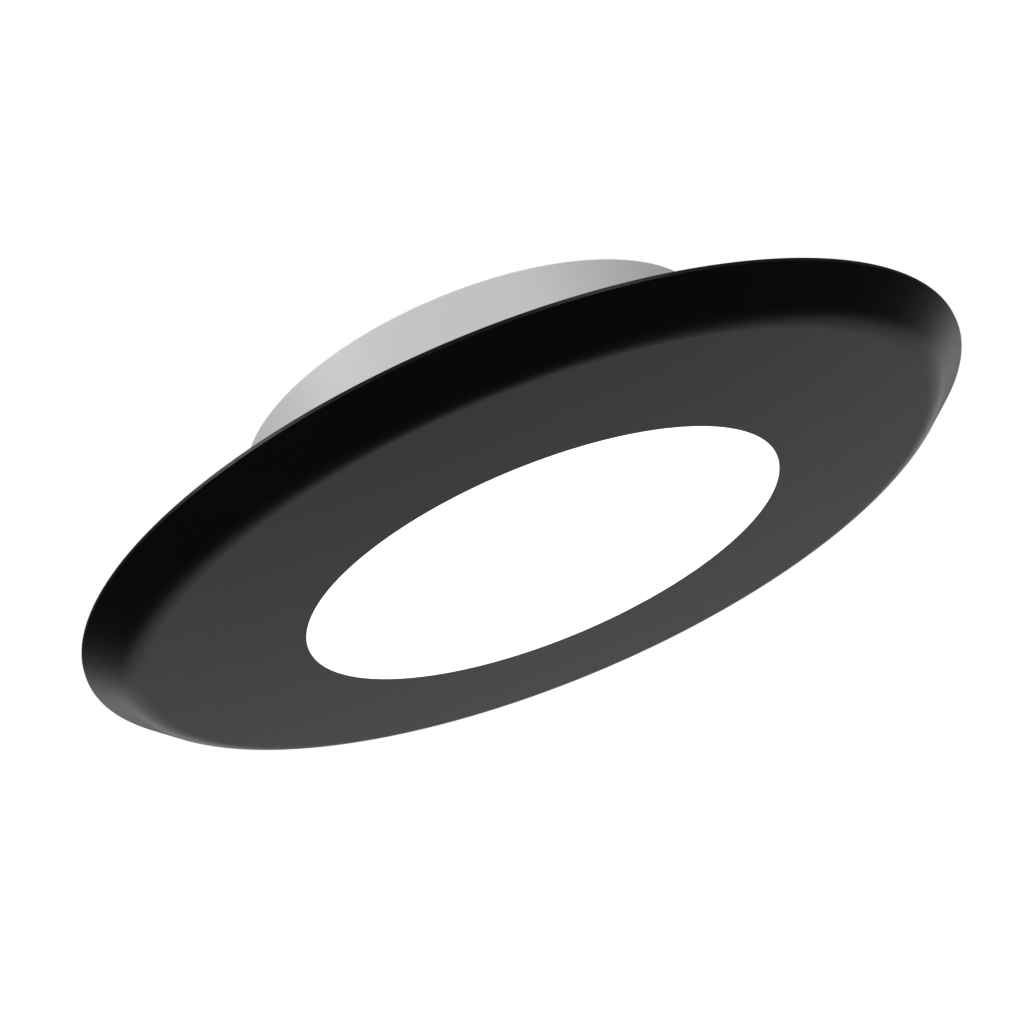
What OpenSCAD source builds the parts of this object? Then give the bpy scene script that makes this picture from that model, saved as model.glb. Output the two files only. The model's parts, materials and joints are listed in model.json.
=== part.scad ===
// Soffit downlight: black cast trim, flush opal lens, plain grey can, two spring clips.
// The origin is the centre of the trim's rim, on its back face, which seats against the
// soffit. +Z points up into the soffit, so the lit face looks down. Millimetres.

/* [Trim] */
// How far the trim reaches out past the can's side
trim_overhang = 25; // [23:0.5:45]
// Depth of the flat face below the soffit
trim_drop = 4.3; // [4.1:0.1:5.2]
// Height of the plain edge round the rim
rim_edge = 0.4; // [0.2:0.1:0.6]
// Angle of the sloping edge to the flat face
bevel_angle = 40; // [38:1:50]
// Radius that blends the flat face into the sloping edge
face_blend = 4.4; // [2.6:0.1:8]
// Wall of the trim casting
trim_wall = 2; // [1.6:0.1:2.4]
// How far the lit opening stops short of the can's side
opening_inset = 0.1; // [0:0.05:1]
// Width of the foam ring that seals against the soffit
foam_w = 4; // [2.5:0.1:4.2]
// How far the foam ring stands proud of the rim
foam_proud = 0.6; // [0.3:0.1:1.2]

/* [Can] */
// Outer diameter of the can
can_d = 60; // [56:1:90]
// Height of the can above the soffit's face
can_h = 18.1; // [17.6:0.1:30]
// Wall of the can
can_wall = 3; // [2.6:0.1:3.6]
// Radius on the can's rear edge
can_edge = 0.8; // [0.4:0.1:1.2]
// Height of the underside of the web that splits the can
web_z = 6.8; // [6.5:0.1:7.2]
// Thickness of the web
web_t = 2; // [1.6:0.1:2.4]
// How far the flange behind the trim reaches past the can's side
flange_reach = 11; // [10:0.5:12]
// Thickness of that flange
flange_t = 1.6; // [1.4:0.1:1.9]
// Number of screws between the flange and the trim
trim_screws_n = 4; // [3:1:8]

/* [Lit face] */
// Thickness of the opal disc
lens_t = 2; // [1.2:0.1:2.6]
// Width of the flange round the back of the lens
lens_flange_w = 2.45; // [1.8:0.05:3]
// Thickness of that flange
lens_flange_t = 1.2; // [0.9:0.1:1.5]
// Thickness of the lens gasket
lens_gasket_t = 0.5; // [0.3:0.1:0.8]
// Wall of the reflector
reflector_wall = 0.8; // [0.6:0.1:1]
// Number of light chips in the outer ring
chips_outer = 12; // [6:1:14]
// Number of light chips in the inner ring
chips_inner = 6; // [3:1:6]

/* [Boards] */
// Thickness of the LED board
led_board_t = 1.2; // [0.8:0.1:1.6]
// Thickness of the thermal pad behind it
pad_t = 0.5; // [0.3:0.1:0.8]
// Thickness of the driver board
driver_t = 1.2; // [0.8:0.1:1.6]
// Height of the driver board above the web
driver_lift = 2; // [1.6:0.1:2.4]
// Thickness of the insulating sheet on the web
sheet_t = 0.25; // [0.15:0.05:0.5]
// Diameter of each lead, over its insulation
lead_d = 1.1; // [0.8:0.1:1.2]

/* [Rear cover and gland] */
// Thickness of the rear cover
cover_t = 1.6; // [1.2:0.1:2]
// Thickness of the rear gasket
rear_gasket_t = 0.6; // [0.4:0.1:1]
// How far the gland's axis stands off the can's axis
gland_y = 11; // [10:0.5:11.5]
// Diameter of the gland's thread
gland_thread_d = 12; // [10:0.5:12]
// Width of the gland's hexagons across their flats
gland_flats = 15; // [14:0.5:15.5]
// Bore of the gland's seal, which the cable fills
cable_d = 6; // [4:0.5:6.5]
// Number of fingers in the collet that grips the seal
collet_fingers = 8; // [4:1:10]

/* [Spring clips] */
// Height of the hinge pin above the soffit's face
pivot_z = 10.8; // [10.5:0.1:12]
// Diameter of the hinge pin
pin_d = 1.8; // [1.4:0.1:2]
// Thickness of the clip's sheet steel
clip_t = 0.9; // [0.7:0.1:1]
// Width over the bracket
bracket_w = 13.2; // [12:0.2:15]
// Mean radius of the spring's coil
coil_r = 1.5; // [1.4:0.05:1.8]
// Diameter of the spring wire
wire_d = 0.8; // [0.6:0.05:0.85]
// Whole turns in the spring, before the part turn that ends it
coil_turns = 5; // [3:1:5]
// Advance of the coil in one turn
coil_pitch = 1.3; // [1.26:0.02:1.4]
// Length of the arm from the pin to its bend
arm_len = 12; // [11.5:0.5:14]
// Length of the arm from its bend to its tip
tip_len = 6; // [5:0.5:7.5]
// Angle of the bend
tip_bend = 32; // [24:1:36]
// Width of the arm at its tip
tip_w = 8; // [6:0.5:9]
// Length of the stiffening bead pressed into the arm
bead_len = 6.5; // [3:0.5:7]
// Wall of the soft sleeve on the tip
sleeve_wall = 0.8; // [0.5:0.1:1.2]

/* [Hidden] */
$fn = 96;

// Clearances that the fits share
fit = 0.2;          // between loose round parts
screw_fit = 0.05;   // round a screw's shank in its pilot hole
pin_fit = 0.05;     // round the hinge pin in the arm
seat = 0.3;         // between a moving part and what it rests on
eps = 1;            // run-out of a cut past a face
cross = 0.001;      // how far a blend's arc crosses the two lines that it joins

// Trim
can_r = can_d / 2;
trim_r = can_r + trim_overhang;
opening_r = can_r - opening_inset;
face_z = -trim_drop;
face_back_z = face_z + trim_wall;
rib_w = 0.8;        // rib that centres the flange in the trim

// Lens, its seat in the trim and the recess in the housing that clamps it
lens_r = opening_r - fit;
lens_flange_r = opening_r + lens_flange_w - fit;
lens_flange_z = face_back_z + lens_gasket_t;
recess_r = lens_flange_r + 0.3;
recess_z = lens_flange_z + lens_flange_t;
lens_rim_w = 1.25;  // wall of the lens's upstand
mouth_r = lens_r - lens_rim_w + 1;

// Housing
flange_r = can_r + flange_reach;
flange_top = face_back_z + flange_t;
shoulder_r = can_r + 4;
shoulder_top = recess_z + 1.5;
mouth_top = recess_z + 1.7;
bore_r = can_r - can_wall;
web_top = web_z + web_t;
trim_screw_r = can_r + 7.2;

// Rear cover, set flush in a recess in the can's rear edge
cover_recess_r = can_r - 1.6;
cover_top = can_h - 0.2;
cover_z = cover_top - cover_t;
ledge_z = cover_z - rear_gasket_t;
boss_top = ledge_z - 0.1;

// Boards
board_r = bore_r - 0.4;
led_z = web_z - pad_t - led_board_t;
driver_z = web_top + driver_lift;
driver_top = driver_z + driver_t;

// Screws, as [shank radius, head radius, head height]
m25_flat = [1.2, 2.3, 1.2];
m25_pan = [1.2, 2.2, 1.2];
m25_wafer = [1.2, 2.2, 0.8];
m2_pan = [0.95, 1.85, 1.1];

// Bosses on the web, as [radius of the boss, radius of its circle, first angle]
cover_boss = [2.8, bore_r - 2.4, 90];
driver_boss = [2.4, bore_r - 5.5, 30];
led_boss = [2.2, bore_r - 6, 60];
bosses_n = 3;

// Light chips, as [length, width, height]
chip = [3.5, 2.8, 0.7];
chip_rings = [[chips_outer, board_r - 9.6], [chips_inner, board_r - 15.6]];

// Grommet and the two leads that pass through it
web_hole_r = 2.6;
lead_gap = 1.3;     // between the leads' axes
lead_bend = 1.2;
connector = [6, 4.5, 2.2];
connector_y = -6;
lead_z = led_z - 1.1;

// Terminal block, as [length, width, height]
terminal = [10.2, 7.5, 4];
terminal_y = -9;
terminal_pitch = 5;

// Gland
thread_r = gland_thread_d / 2;
hex_r = gland_flats / 2 / cos(30);
cable_r = cable_d / 2;
washer_t = 1;
gland_z = cover_top + washer_t;
gland_hex_h = 4;
collet_r = thread_r - 0.4;
seal_r = collet_r - 1.1;
seal_z = gland_z + 1.5;
collet_top = gland_z + gland_hex_h + 4.6;
seal_top = collet_top - 0.2;
collet_taper = [0.5, 1.4];  // how far the collet's end draws in, and over what length
nut_z = gland_z + gland_hex_h + 0.4;
nut_top = collet_top + 3;
locknut_t = 2.4;

// Spring clips, laid out for the right-hand one. The arm has its own frame, with its
// origin on the hinge pin, x along the arm and z square to it.
pad_x = can_r + 0.6;
base_x = pad_x + clip_t + 0.1;
wire_r = wire_d / 2;
spring_gap = 0.15;  // between the coil's back and the bracket
tip_corner = 1.5;
pin_r = pin_d / 2;
pivot_x = base_x + spring_gap + wire_r + coil_r;
bracket_low = shoulder_top + 1.2;
bracket_high = ledge_z + 0.4;
pad_w = bracket_w + 0.8;
pad_root_x = can_r - 1.4;
clip_screw_low = bracket_low + 2.4;
clip_screw_high = bracket_high - 2.2;
clip_screw_len = 3;
ear_y = bracket_w / 2 - clip_t;
arm_ear_y = ear_y - seat - clip_t;
channel_z = -(coil_r + wire_r + seat + clip_t / 2);
// The arm droops until its sleeve lies just above the foam ring.
droop_reach = arm_len + tip_len * cos(tip_bend) + (clip_t / 2 + sleeve_wall) * sin(tip_bend);
droop_rise = -channel_z - tip_len * sin(tip_bend) + (clip_t / 2 + sleeve_wall) * cos(tip_bend);
droop_drop = pivot_z - foam_proud - seat;
droop = asin(droop_drop / norm([droop_reach, droop_rise])) - atan2(droop_rise, droop_reach);

// Spring: a fixed leg up the bracket, the coil, and a leg out along the arm
fixed_leg = 5;
moving_leg = 8;
curl_rings = 8;
wire_sides = 6;
start_angle = 180;
end_angle = 360 * coil_turns + 270 - droop;
coil_steps = ceil((end_angle - start_angle) / 360 * curl_rings);
coil_len = coil_pitch * (end_angle - start_angle) / 360;

function coil_side(a) = [cos(a), 0, sin(a)];
function coil_way(a) = [-sin(a), 0, cos(a)];
function coil_at(a) =
    [pivot_x, coil_pitch * (a - start_angle) / 360 - coil_len / 2, pivot_z] + coil_r * coil_side(a);
coil_angles = [
    for (i = [0 : coil_steps])
        start_angle + (end_angle - start_angle) * i / coil_steps
];
// Each entry is a point of the wire's centre line and the coil angle that faces it.
spring_line = concat(
    [[coil_at(start_angle) - fixed_leg * coil_way(start_angle), start_angle]],
    [for (a = coil_angles) [coil_at(a), a]],
    [[coil_at(end_angle) + moving_leg * coil_way(end_angle), end_angle]]
);
spring_self_gap = min([
    for (i = [0 : coil_steps])
        for (j = [i + 1 : 1 : coil_steps])
            if (coil_angles[j] - coil_angles[i] > 180)
                norm(coil_at(coil_angles[j]) - coil_at(coil_angles[i])) - wire_d
]);
echo("least gap of the spring to itself, mm", spring_self_gap);
echo("droop of the arm at rest, degrees", droop);

trim_black = "#2b2b2c";
can_grey = "#c3c4c5";
opal = "#fbfbf8";
foam_grey = "#3a3a3c";
rubber_black = "#232325";
steel = "#b9bcc0";
board_white = "#eef0ec";
board_green = "#2f6b46";
plastic_black = "#2c2d30";

// ---- shared shapes ----

// Children at n even places round a circle, their own +X pointing outwards
module round_circle(n, r, first = 0) {
    for (i = [0 : n - 1])
        rotate([0, 0, first + 360 * i / n])
            translate([r, 0, 0])
                children();
}

// Ring between two heights
module ring(r_out, r_in, z_low, z_high) {
    rotate_extrude()
        translate([r_in, z_low])
            square([r_out - r_in, z_high - z_low]);
}

// Disc between two heights
module disc(r, z_low, z_high) {
    translate([0, 0, z_low])
        cylinder(r = r, h = z_high - z_low);
}

// Hexagonal prism between two heights, with two flats facing along Y
module hexagon(z_low, z_high) {
    translate([0, 0, z_low])
        cylinder(r = hex_r, h = z_high - z_low, $fn = 6);
}

// Hexagon between two heights with its corners turned off at both ends; each cut is how
// far it reaches in from the corner and along the axis
module turned_hexagon(z_low, z_high, low_cut, high_cut) {
    intersection() {
        hexagon(z_low, z_high);
        rotate_extrude()
            polygon([
                [0, z_low], [hex_r - low_cut.x, z_low], [hex_r, z_low + low_cut.y],
                [hex_r, z_high - high_cut.y], [hex_r - high_cut.x, z_high], [0, z_high]
            ]);
    }
}

// Flat outline with round corners
module rounded_rect(size, r) {
    for (x = [r, size.x - r])
        for (y = [r, size.y - r])
            translate([x, y])
                circle(r = r, $fn = 48);
    translate([r, 0])
        square([size.x - 2 * r, size.y]);
    translate([0, r])
        square([size.x, size.y - 2 * r]);
}

// Cross-shaped drive recess in the top of a screw head at z = 0
module drive_recess(r, depth) {
    bar = 0.5;
    for (a = [0, 90])
        rotate([0, 0, a])
            translate([-r, -bar / 2, -depth])
                cube([2 * r, bar, depth + eps]);
}

// Screw with its head's seat at z = 0 and its shank running down
module pan_screw(size, shank_len) {
    bevel = 0.35;
    difference() {
        rotate_extrude($fn = 48)
            polygon([
                [0, -shank_len], [size[0], -shank_len], [size[0], 0], [size[1], 0],
                [size[1], size[2] - bevel], [size[1] - bevel, size[2]], [0, size[2]]
            ]);
        translate([0, 0, size[2]])
            drive_recess(size[1] * 0.55, size[2] * 0.6);
    }
}

// Countersunk screw with its head's top at z = 0
module flat_screw(size, shank_len) {
    difference() {
        rotate_extrude($fn = 48)
            polygon([
                [0, -shank_len], [size[0], -shank_len], [size[0], -size[2]],
                [size[1], 0], [0, 0]
            ]);
        drive_recess(size[1] * 0.5, size[2] * 0.6);
    }
}

// Countersunk hole for that screw, through a plate that is t thick, its face at z = 0
module flat_screw_hole(size, t) {
    cut = screw_fit;
    rotate_extrude($fn = 48)
        polygon([
            [0, -t - eps], [size[0] + cut, -t - eps], [size[0] + cut, -size[2]],
            [size[1] + cut, 0], [size[1] + cut, eps], [0, eps]
        ]);
}

// ---- trim and lens ----

// Half section of a dish: a flat bottom at z = low and a side at the bevel's angle that
// passes through [r, top], with the corner between them rounded
module dish(low, top, r, blend) {
    corner_x = r - (top - low) / tan(bevel_angle);
    half = bevel_angle / 2;
    far = 3 * blend;
    difference() {
        polygon([[0, low], [corner_x, low], [r, top], [0, top]]);
        translate([corner_x - blend * tan(half), low + blend])
            difference() {
                polygon([
                    [0, 0], [0, -far], far * [sin(half), -2 * cos(half)],
                    far * [sin(bevel_angle), -cos(bevel_angle)]
                ]);
                circle(r = blend + cross, $fn = 180);
            }
    }
}

// Wall of even thickness: flat face, round blend and sloping edge up to the soffit
module trim_section() {
    edge_top = -rim_edge;
    inner_r = trim_r + rim_edge / tan(bevel_angle) - trim_wall / sin(bevel_angle);
    run_out = eps / tan(bevel_angle);
    difference() {
        union() {
            dish(face_z, edge_top, trim_r, face_blend);
            square_to(trim_r, edge_top, 0);
        }
        dish(face_back_z, eps, inner_r + run_out, face_blend - trim_wall);
        square_to(opening_r, face_z - eps, eps);
    }
}

module trim_ring() {
    rib_r = flange_r + fit;
    pilot_depth = trim_wall - 0.5;
    color(trim_black)
        difference() {
            union() {
                rotate_extrude($fn = 180)
                    trim_section();
                ring(rib_r + rib_w, rib_r, face_back_z, flange_top);
            }
            round_circle(trim_screws_n, trim_screw_r, 45)
                disc(m25_flat[0] + screw_fit, face_back_z - pilot_depth, face_back_z + eps, $fn = 48);
        }
}

module soffit_gasket() {
    gasket_r = flange_r + rib_w + 2 * fit;
    color(foam_grey)
        ring(gasket_r + foam_w, gasket_r, face_back_z, foam_proud);
}

module diffuser() {
    color(opal)
        rotate_extrude($fn = 180)
            polygon([
                [0, face_z], [lens_r, face_z], [lens_r, lens_flange_z],
                [lens_flange_r, lens_flange_z], [lens_flange_r, recess_z],
                [lens_r - lens_rim_w, recess_z], [lens_r - lens_rim_w, face_z + lens_t],
                [0, face_z + lens_t]
            ]);
}

module diffuser_gasket() {
    color(rubber_black)
        ring(lens_flange_r, opening_r + fit, face_back_z, lens_flange_z);
}

// White cup that lines the mixing chamber, trapped between the lens and the LED board
module reflector() {
    top_z = led_z - 0.1;
    foot_r = mouth_r - fit;
    neck_r = bore_r - fit;
    neck_z = mouth_top - fit;
    color(opal)
        rotate_extrude($fn = 180)
            polygon([
                [foot_r - reflector_wall, recess_z], [foot_r, recess_z], [foot_r, neck_z - 0.1],
                [neck_r, neck_z + 0.1], [neck_r - 0.7, top_z], [neck_r - 0.7 - reflector_wall, top_z],
                [neck_r - reflector_wall, neck_z - 0.1]
            ]);
}

// ---- LED board ----

module led_board() {
    color(board_white)
        difference() {
            disc(board_r, led_z, led_z + led_board_t);
            disc(web_hole_r + 0.9, led_z - eps, web_z, $fn = 48);
            round_circle(bosses_n, led_boss[1], led_boss[2])
                disc(m25_pan[0] + fit, led_z - eps, web_z, $fn = 48);
        }
}

module led_chips() {
    color("#f2d98a")
        for (r = chip_rings)
            round_circle(r[0], r[1], 180 / r[0])
                translate([-chip.y / 2, -chip.x / 2, led_z - chip.z])
                    cube([chip.y, chip.x, chip.z]);
}

// Two-pole connector under the LED board; the leads push into its side
module led_connector() {
    hole_r = lead_d / 2 + screw_fit;
    color(opal)
        difference() {
            translate([-connector.x / 2, connector_y - connector.y / 2, led_z - connector.z])
                cube(connector);
            for (x = [-lead_gap, lead_gap] / 2)
                translate([x, connector_y + connector.y / 2 + eps, lead_z])
                    rotate([90, 0, 0])
                        cylinder(r = hole_r, h = 1.5 + screw_fit + eps, $fn = 32);
        }
}

module thermal_pad() {
    color("#8f9aa6")
        difference() {
            disc(board_r - 0.4, web_z - pad_t, web_z);
            disc(web_hole_r + 0.9, led_z, web_z + eps, $fn = 48);
            round_circle(bosses_n, led_boss[1], led_boss[2])
                disc(m25_pan[0] + fit, led_z, web_z + eps, $fn = 48);
        }
}

module board_screws() {
    color(steel)
        round_circle(bosses_n, led_boss[1], led_boss[2])
            translate([0, 0, led_z])
                rotate([180, 0, 0])
                    pan_screw(m25_pan, led_board_t + pad_t + web_t + 0.7);
}

// ---- housing ----

// Half section of the can: flange behind the trim, lens recess, shoulder, web and ledge
module can_section() {
    slope = shoulder_r - can_r;
    difference() {
        union() {
            translate([0, face_back_z])
                square([flange_r, flange_t]);
            polygon([
                [0, face_back_z], [shoulder_r, face_back_z], [shoulder_r, shoulder_top - slope / 2],
                [can_r, shoulder_top], [can_r, can_h - can_edge], [can_r - can_edge, can_h], [0, can_h]
            ]);
            translate([can_r - can_edge, can_h - can_edge])
                circle(r = can_edge, $fn = 48);
        }
        translate([0, face_back_z - eps])
            square([recess_r, recess_z - face_back_z + eps]);
        square_to(mouth_r, recess_z - eps, mouth_top);
        square_to(bore_r, recess_z - eps, web_z);
        square_to(bore_r, web_top, can_h + eps);
        square_to(cover_recess_r, ledge_z, can_h + eps);
    }
}

// Rectangle from the axis out to r
module square_to(r, z_low, z_high) {
    translate([0, z_low])
        square([r, z_high - z_low]);
}

// Flat pad on the can's side, which a clip bracket is screwed to
module clip_pad() {
    translate([pad_root_x, -pad_w / 2, bracket_low - 0.4])
        cube([pad_x - pad_root_x, pad_w, bracket_high - bracket_low + 0.8]);
}

module clip_pilots() {
    for (z = [clip_screw_low, clip_screw_high])
        translate([pad_x + eps, 0, z])
            rotate([0, -90, 0])
                cylinder(r = m25_wafer[0] + screw_fit, h = clip_screw_len + 0.1 + eps, $fn = 48);
}

module housing() {
    color(can_grey)
        difference() {
            union() {
                rotate_extrude($fn = 180)
                    can_section();
                round_circle(bosses_n, cover_boss[1], cover_boss[2])
                    disc(cover_boss[0], web_top - 0.5, boss_top, $fn = 48);
                round_circle(bosses_n, driver_boss[1], driver_boss[2])
                    disc(driver_boss[0], web_top - 0.5, driver_z, $fn = 48);
                round_circle(bosses_n, led_boss[1], led_boss[2])
                    disc(led_boss[0], web_top - 0.5, driver_z - 0.6, $fn = 48);
                for (a = [0, 180])
                    rotate([0, 0, a])
                        clip_pad();
            }
            round_circle(bosses_n, cover_boss[1], cover_boss[2])
                disc(m25_flat[0] + screw_fit, web_top + 1.6, ledge_z + eps, $fn = 48);
            round_circle(bosses_n, driver_boss[1], driver_boss[2])
                disc(m2_pan[0] + screw_fit, web_top - 1, driver_z + eps, $fn = 48);
            round_circle(bosses_n, led_boss[1], led_boss[2])
                disc(m25_pan[0] + screw_fit, web_z - eps, web_top + 0.9, $fn = 48);
            round_circle(trim_screws_n, trim_screw_r, 45)
                translate([0, 0, flange_top])
                    flat_screw_hole(m25_flat, flange_t);
            disc(web_hole_r, web_z - eps, web_top + eps, $fn = 48);
            for (a = [0, 180])
                rotate([0, 0, a])
                    clip_pilots();
        }
}

module trim_screws() {
    color(steel)
        round_circle(trim_screws_n, trim_screw_r, 45)
            translate([0, 0, flange_top])
                flat_screw(m25_flat, flange_t + trim_wall - 0.6);
}

// ---- leads through the web ----

module web_grommet() {
    lip_r = web_hole_r + 0.6;
    lip_low = 0.6;
    lip_high = 0.8;
    color(rubber_black)
        rotate_extrude($fn = 48)
            polygon([
                [lead_gap / 2 + lead_d / 2 + 0.2, web_z - lip_low], [lip_r, web_z - lip_low],
                [lip_r, web_z], [web_hole_r - screw_fit, web_z], [web_hole_r - screw_fit, web_top],
                [lip_r, web_top], [lip_r, web_top + lip_high],
                [lead_gap / 2 + lead_d / 2 + 0.2, web_top + lip_high]
            ]);
}

// Lead from the driver board down through the grommet, then round into the connector
module lead(x) {
    r = lead_d / 2;
    bend_z = lead_z + lead_bend;
    mouth_y = connector_y + connector.y / 2;
    translate([x, 0, 0]) {
        disc(r, bend_z, driver_top + 0.4, $fn = 32);
        translate([0, -lead_bend, bend_z])
            rotate([0, -90, 0])
                rotate([0, 0, 90])
                    rotate_extrude(angle = 90, $fn = 32)
                        translate([lead_bend, 0])
                            circle(r = r, $fn = 32);
        translate([0, -lead_bend, lead_z])
            rotate([90, 0, 0])
                cylinder(r = r, h = -lead_bend - mouth_y + 1.5, $fn = 32);
    }
}

module lead_red() {
    color("#b8322c")
        lead(lead_gap / 2);
}

module lead_black() {
    color(plastic_black)
        lead(-lead_gap / 2);
}

// ---- driver ----

module insulating_sheet() {
    gap = 0.3;
    color("#e9e4d2")
        difference() {
            disc(board_r, web_top, web_top + sheet_t);
            disc(web_hole_r + 1, web_top - eps, driver_z, $fn = 48);
            for (b = [cover_boss, driver_boss, led_boss])
                round_circle(bosses_n, b[1], b[2])
                    disc(b[0] + gap, web_top - eps, driver_z, $fn = 48);
        }
}

module driver_board() {
    color(board_green)
        difference() {
            disc(board_r, driver_z, driver_top);
            round_circle(bosses_n, cover_boss[1], cover_boss[2])
                disc(cover_boss[0] + 0.4, driver_z - eps, driver_top + eps, $fn = 48);
            round_circle(bosses_n, driver_boss[1], driver_boss[2])
                disc(m2_pan[0] + fit, driver_z - eps, driver_top + eps, $fn = 32);
            for (x = [-lead_gap, lead_gap] / 2)
                translate([x, 0, 0])
                    disc(lead_d / 2 + screw_fit, driver_z - eps, driver_top + eps, $fn = 32);
        }
}

// Box that stands on the driver board, centred on a point
module on_board(size, at) {
    translate([at.x - size.x / 2, at.y - size.y / 2, driver_top])
        cube(size);
}

module power_inductor() {
    core = [7, 7, 3.4];
    at = [13.5, -5];
    color("#55585c")
        difference() {
            on_board(core, at);
            for (a = [45 : 90 : 315])
                translate([at.x, at.y, driver_top - eps])
                    rotate([0, 0, a])
                        translate([core.x * 0.6, -core.x, 0])
                            cube([core.x, 2 * core.x, core.z + 2 * eps]);
        }
}

module capacitors() {
    body = [7.3, 4.3, 2.9];
    color("#c9a227")
        for (x = [-13.8, 13.8])
            on_board(body, [x, 4.2]);
}

module rectifier_diodes() {
    body = [2.6, 4.3, 2.1];
    pitch = 5;
    color(plastic_black)
        for (i = [0 : 3])
            on_board(body, [pitch * (i - 1.5), -16]);
}

// Control chip with four legs on each long side
module control_chip() {
    body = [4, 5, 1.5];
    leg = [6, 0.45, 0.3];
    pitch = 1.27;
    at = [-13.5, -5];
    color(plastic_black) {
        translate([0, 0, leg.z / 2])
            on_board(body, at);
        for (i = [0 : 3])
            on_board(leg, [at.x, at.y + pitch * (i - 1.5)]);
    }
}

// Low terminal block with a wire mouth and a screw well for each pole
module terminal_block() {
    mouth = [3.2, 4, 1.8];
    color("#3f7f5c")
        difference() {
            on_board(terminal, [0, terminal_y]);
            for (x = [-terminal_pitch, terminal_pitch] / 2) {
                translate([x - mouth.x / 2, terminal_y + terminal.y / 2 - mouth.y, driver_top + 0.7])
                    cube([mouth.x, mouth.y + eps, mouth.z]);
                translate([x, terminal_y, 0])
                    disc(1.5, driver_top + 2, driver_top + terminal.z + eps, $fn = 32);
            }
        }
}

module terminal_screws() {
    color(steel)
        for (x = [-terminal_pitch, terminal_pitch] / 2)
            translate([x, terminal_y, driver_top + 2.6])
                difference() {
                    disc(1.4, -0.6, 1, $fn = 32);
                    translate([-1.4 - eps, -0.25, 0.5])
                        cube([2.8 + 2 * eps, 0.5, 1]);
                }
}

module driver_screws() {
    color(steel)
        round_circle(bosses_n, driver_boss[1], driver_boss[2])
            translate([0, 0, driver_top])
                pan_screw(m2_pan, driver_t + driver_lift + 0.8);
}

// ---- rear cover and gland ----

module rear_gasket() {
    hole_r = m25_flat[0] + fit;
    color(rubber_black)
        difference() {
            union() {
                ring(cover_recess_r - fit, bore_r, ledge_z, cover_z);
                round_circle(bosses_n, cover_boss[1], cover_boss[2])
                    disc(cover_boss[0], ledge_z, cover_z, $fn = 48);
            }
            round_circle(bosses_n, cover_boss[1], cover_boss[2])
                disc(hole_r, ledge_z - eps, cover_z + eps, $fn = 48);
        }
}

module rear_cover() {
    color(can_grey)
        difference() {
            disc(cover_recess_r - 0.15, cover_z, cover_top);
            round_circle(bosses_n, cover_boss[1], cover_boss[2])
                translate([0, 0, cover_top])
                    flat_screw_hole(m25_flat, cover_t);
            translate([0, gland_y, 0])
                disc(thread_r + 0.1, cover_z - eps, cover_top + eps, $fn = 64);
        }
}

module cover_screws() {
    color(steel)
        round_circle(bosses_n, cover_boss[1], cover_boss[2])
            translate([0, 0, cover_top])
                flat_screw(m25_flat, cover_top - web_top - 2);
}

module gland_washer() {
    color(rubber_black)
        translate([0, gland_y, 0])
            ring(gland_flats / 2 + 0.3, thread_r + 0.1, cover_top, gland_z);
}

// Threaded spigot, hexagon and slotted collet, bored for the cable and for the seal
module gland_body() {
    collet_z = gland_z + gland_hex_h;
    slot_w = 0.8;
    slot_root = 1.6;
    color(plastic_black)
        translate([0, gland_y, 0])
            difference() {
                union() {
                    disc(thread_r, cover_z - locknut_t - 0.6, gland_z);
                    turned_hexagon(gland_z, collet_z, low_cut = [0.5, 0.3], high_cut = [0.9, 0.6]);
                    rotate_extrude()
                        polygon([
                            [0, collet_z], [collet_r, collet_z], [collet_r, collet_top - collet_taper.y],
                            [collet_r - collet_taper.x, collet_top], [0, collet_top]
                        ]);
                }
                disc(cable_r + 0.6, cover_z - locknut_t - eps, seal_z + eps);
                disc(seal_r + screw_fit, seal_z, collet_top + eps);
                for (i = [0 : collet_fingers - 1])
                    rotate([0, 0, 360 * i / collet_fingers])
                        translate([seal_r - 1, -slot_w / 2, collet_z + slot_root])
                            cube([collet_r - seal_r + 2, slot_w, collet_top - collet_z]);
            }
}

module gland_seal() {
    color("#6d7073")
        translate([0, gland_y, 0])
            ring(seal_r, cable_r, seal_z, seal_top);
}

// Domed nut, whose inner cone closes the collet on the seal
module gland_nut() {
    inner_r = collet_r + 0.1;
    roof_z = collet_top + 0.2;
    color(plastic_black)
        translate([0, gland_y, 0])
            difference() {
                turned_hexagon(nut_z, nut_top, low_cut = [0.8, 0.8], high_cut = [3, 2.6]);
                rotate_extrude()
                    polygon([
                        [0, nut_z - eps], [inner_r, nut_z - eps], [inner_r, collet_top - collet_taper.y],
                        [inner_r - collet_taper.x, roof_z], [0, roof_z]
                    ]);
                disc(cable_r + 0.7, nut_z, nut_top + eps);
            }
}

module gland_locknut() {
    color(plastic_black)
        translate([0, gland_y, 0])
            difference() {
                turned_hexagon(cover_z - locknut_t, cover_z, low_cut = [0.9, 0.6], high_cut = [0.4, 0.2]);
                disc(thread_r + screw_fit, cover_z - locknut_t - eps, cover_z + eps);
            }
}

// ---- spring clips ----

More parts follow.
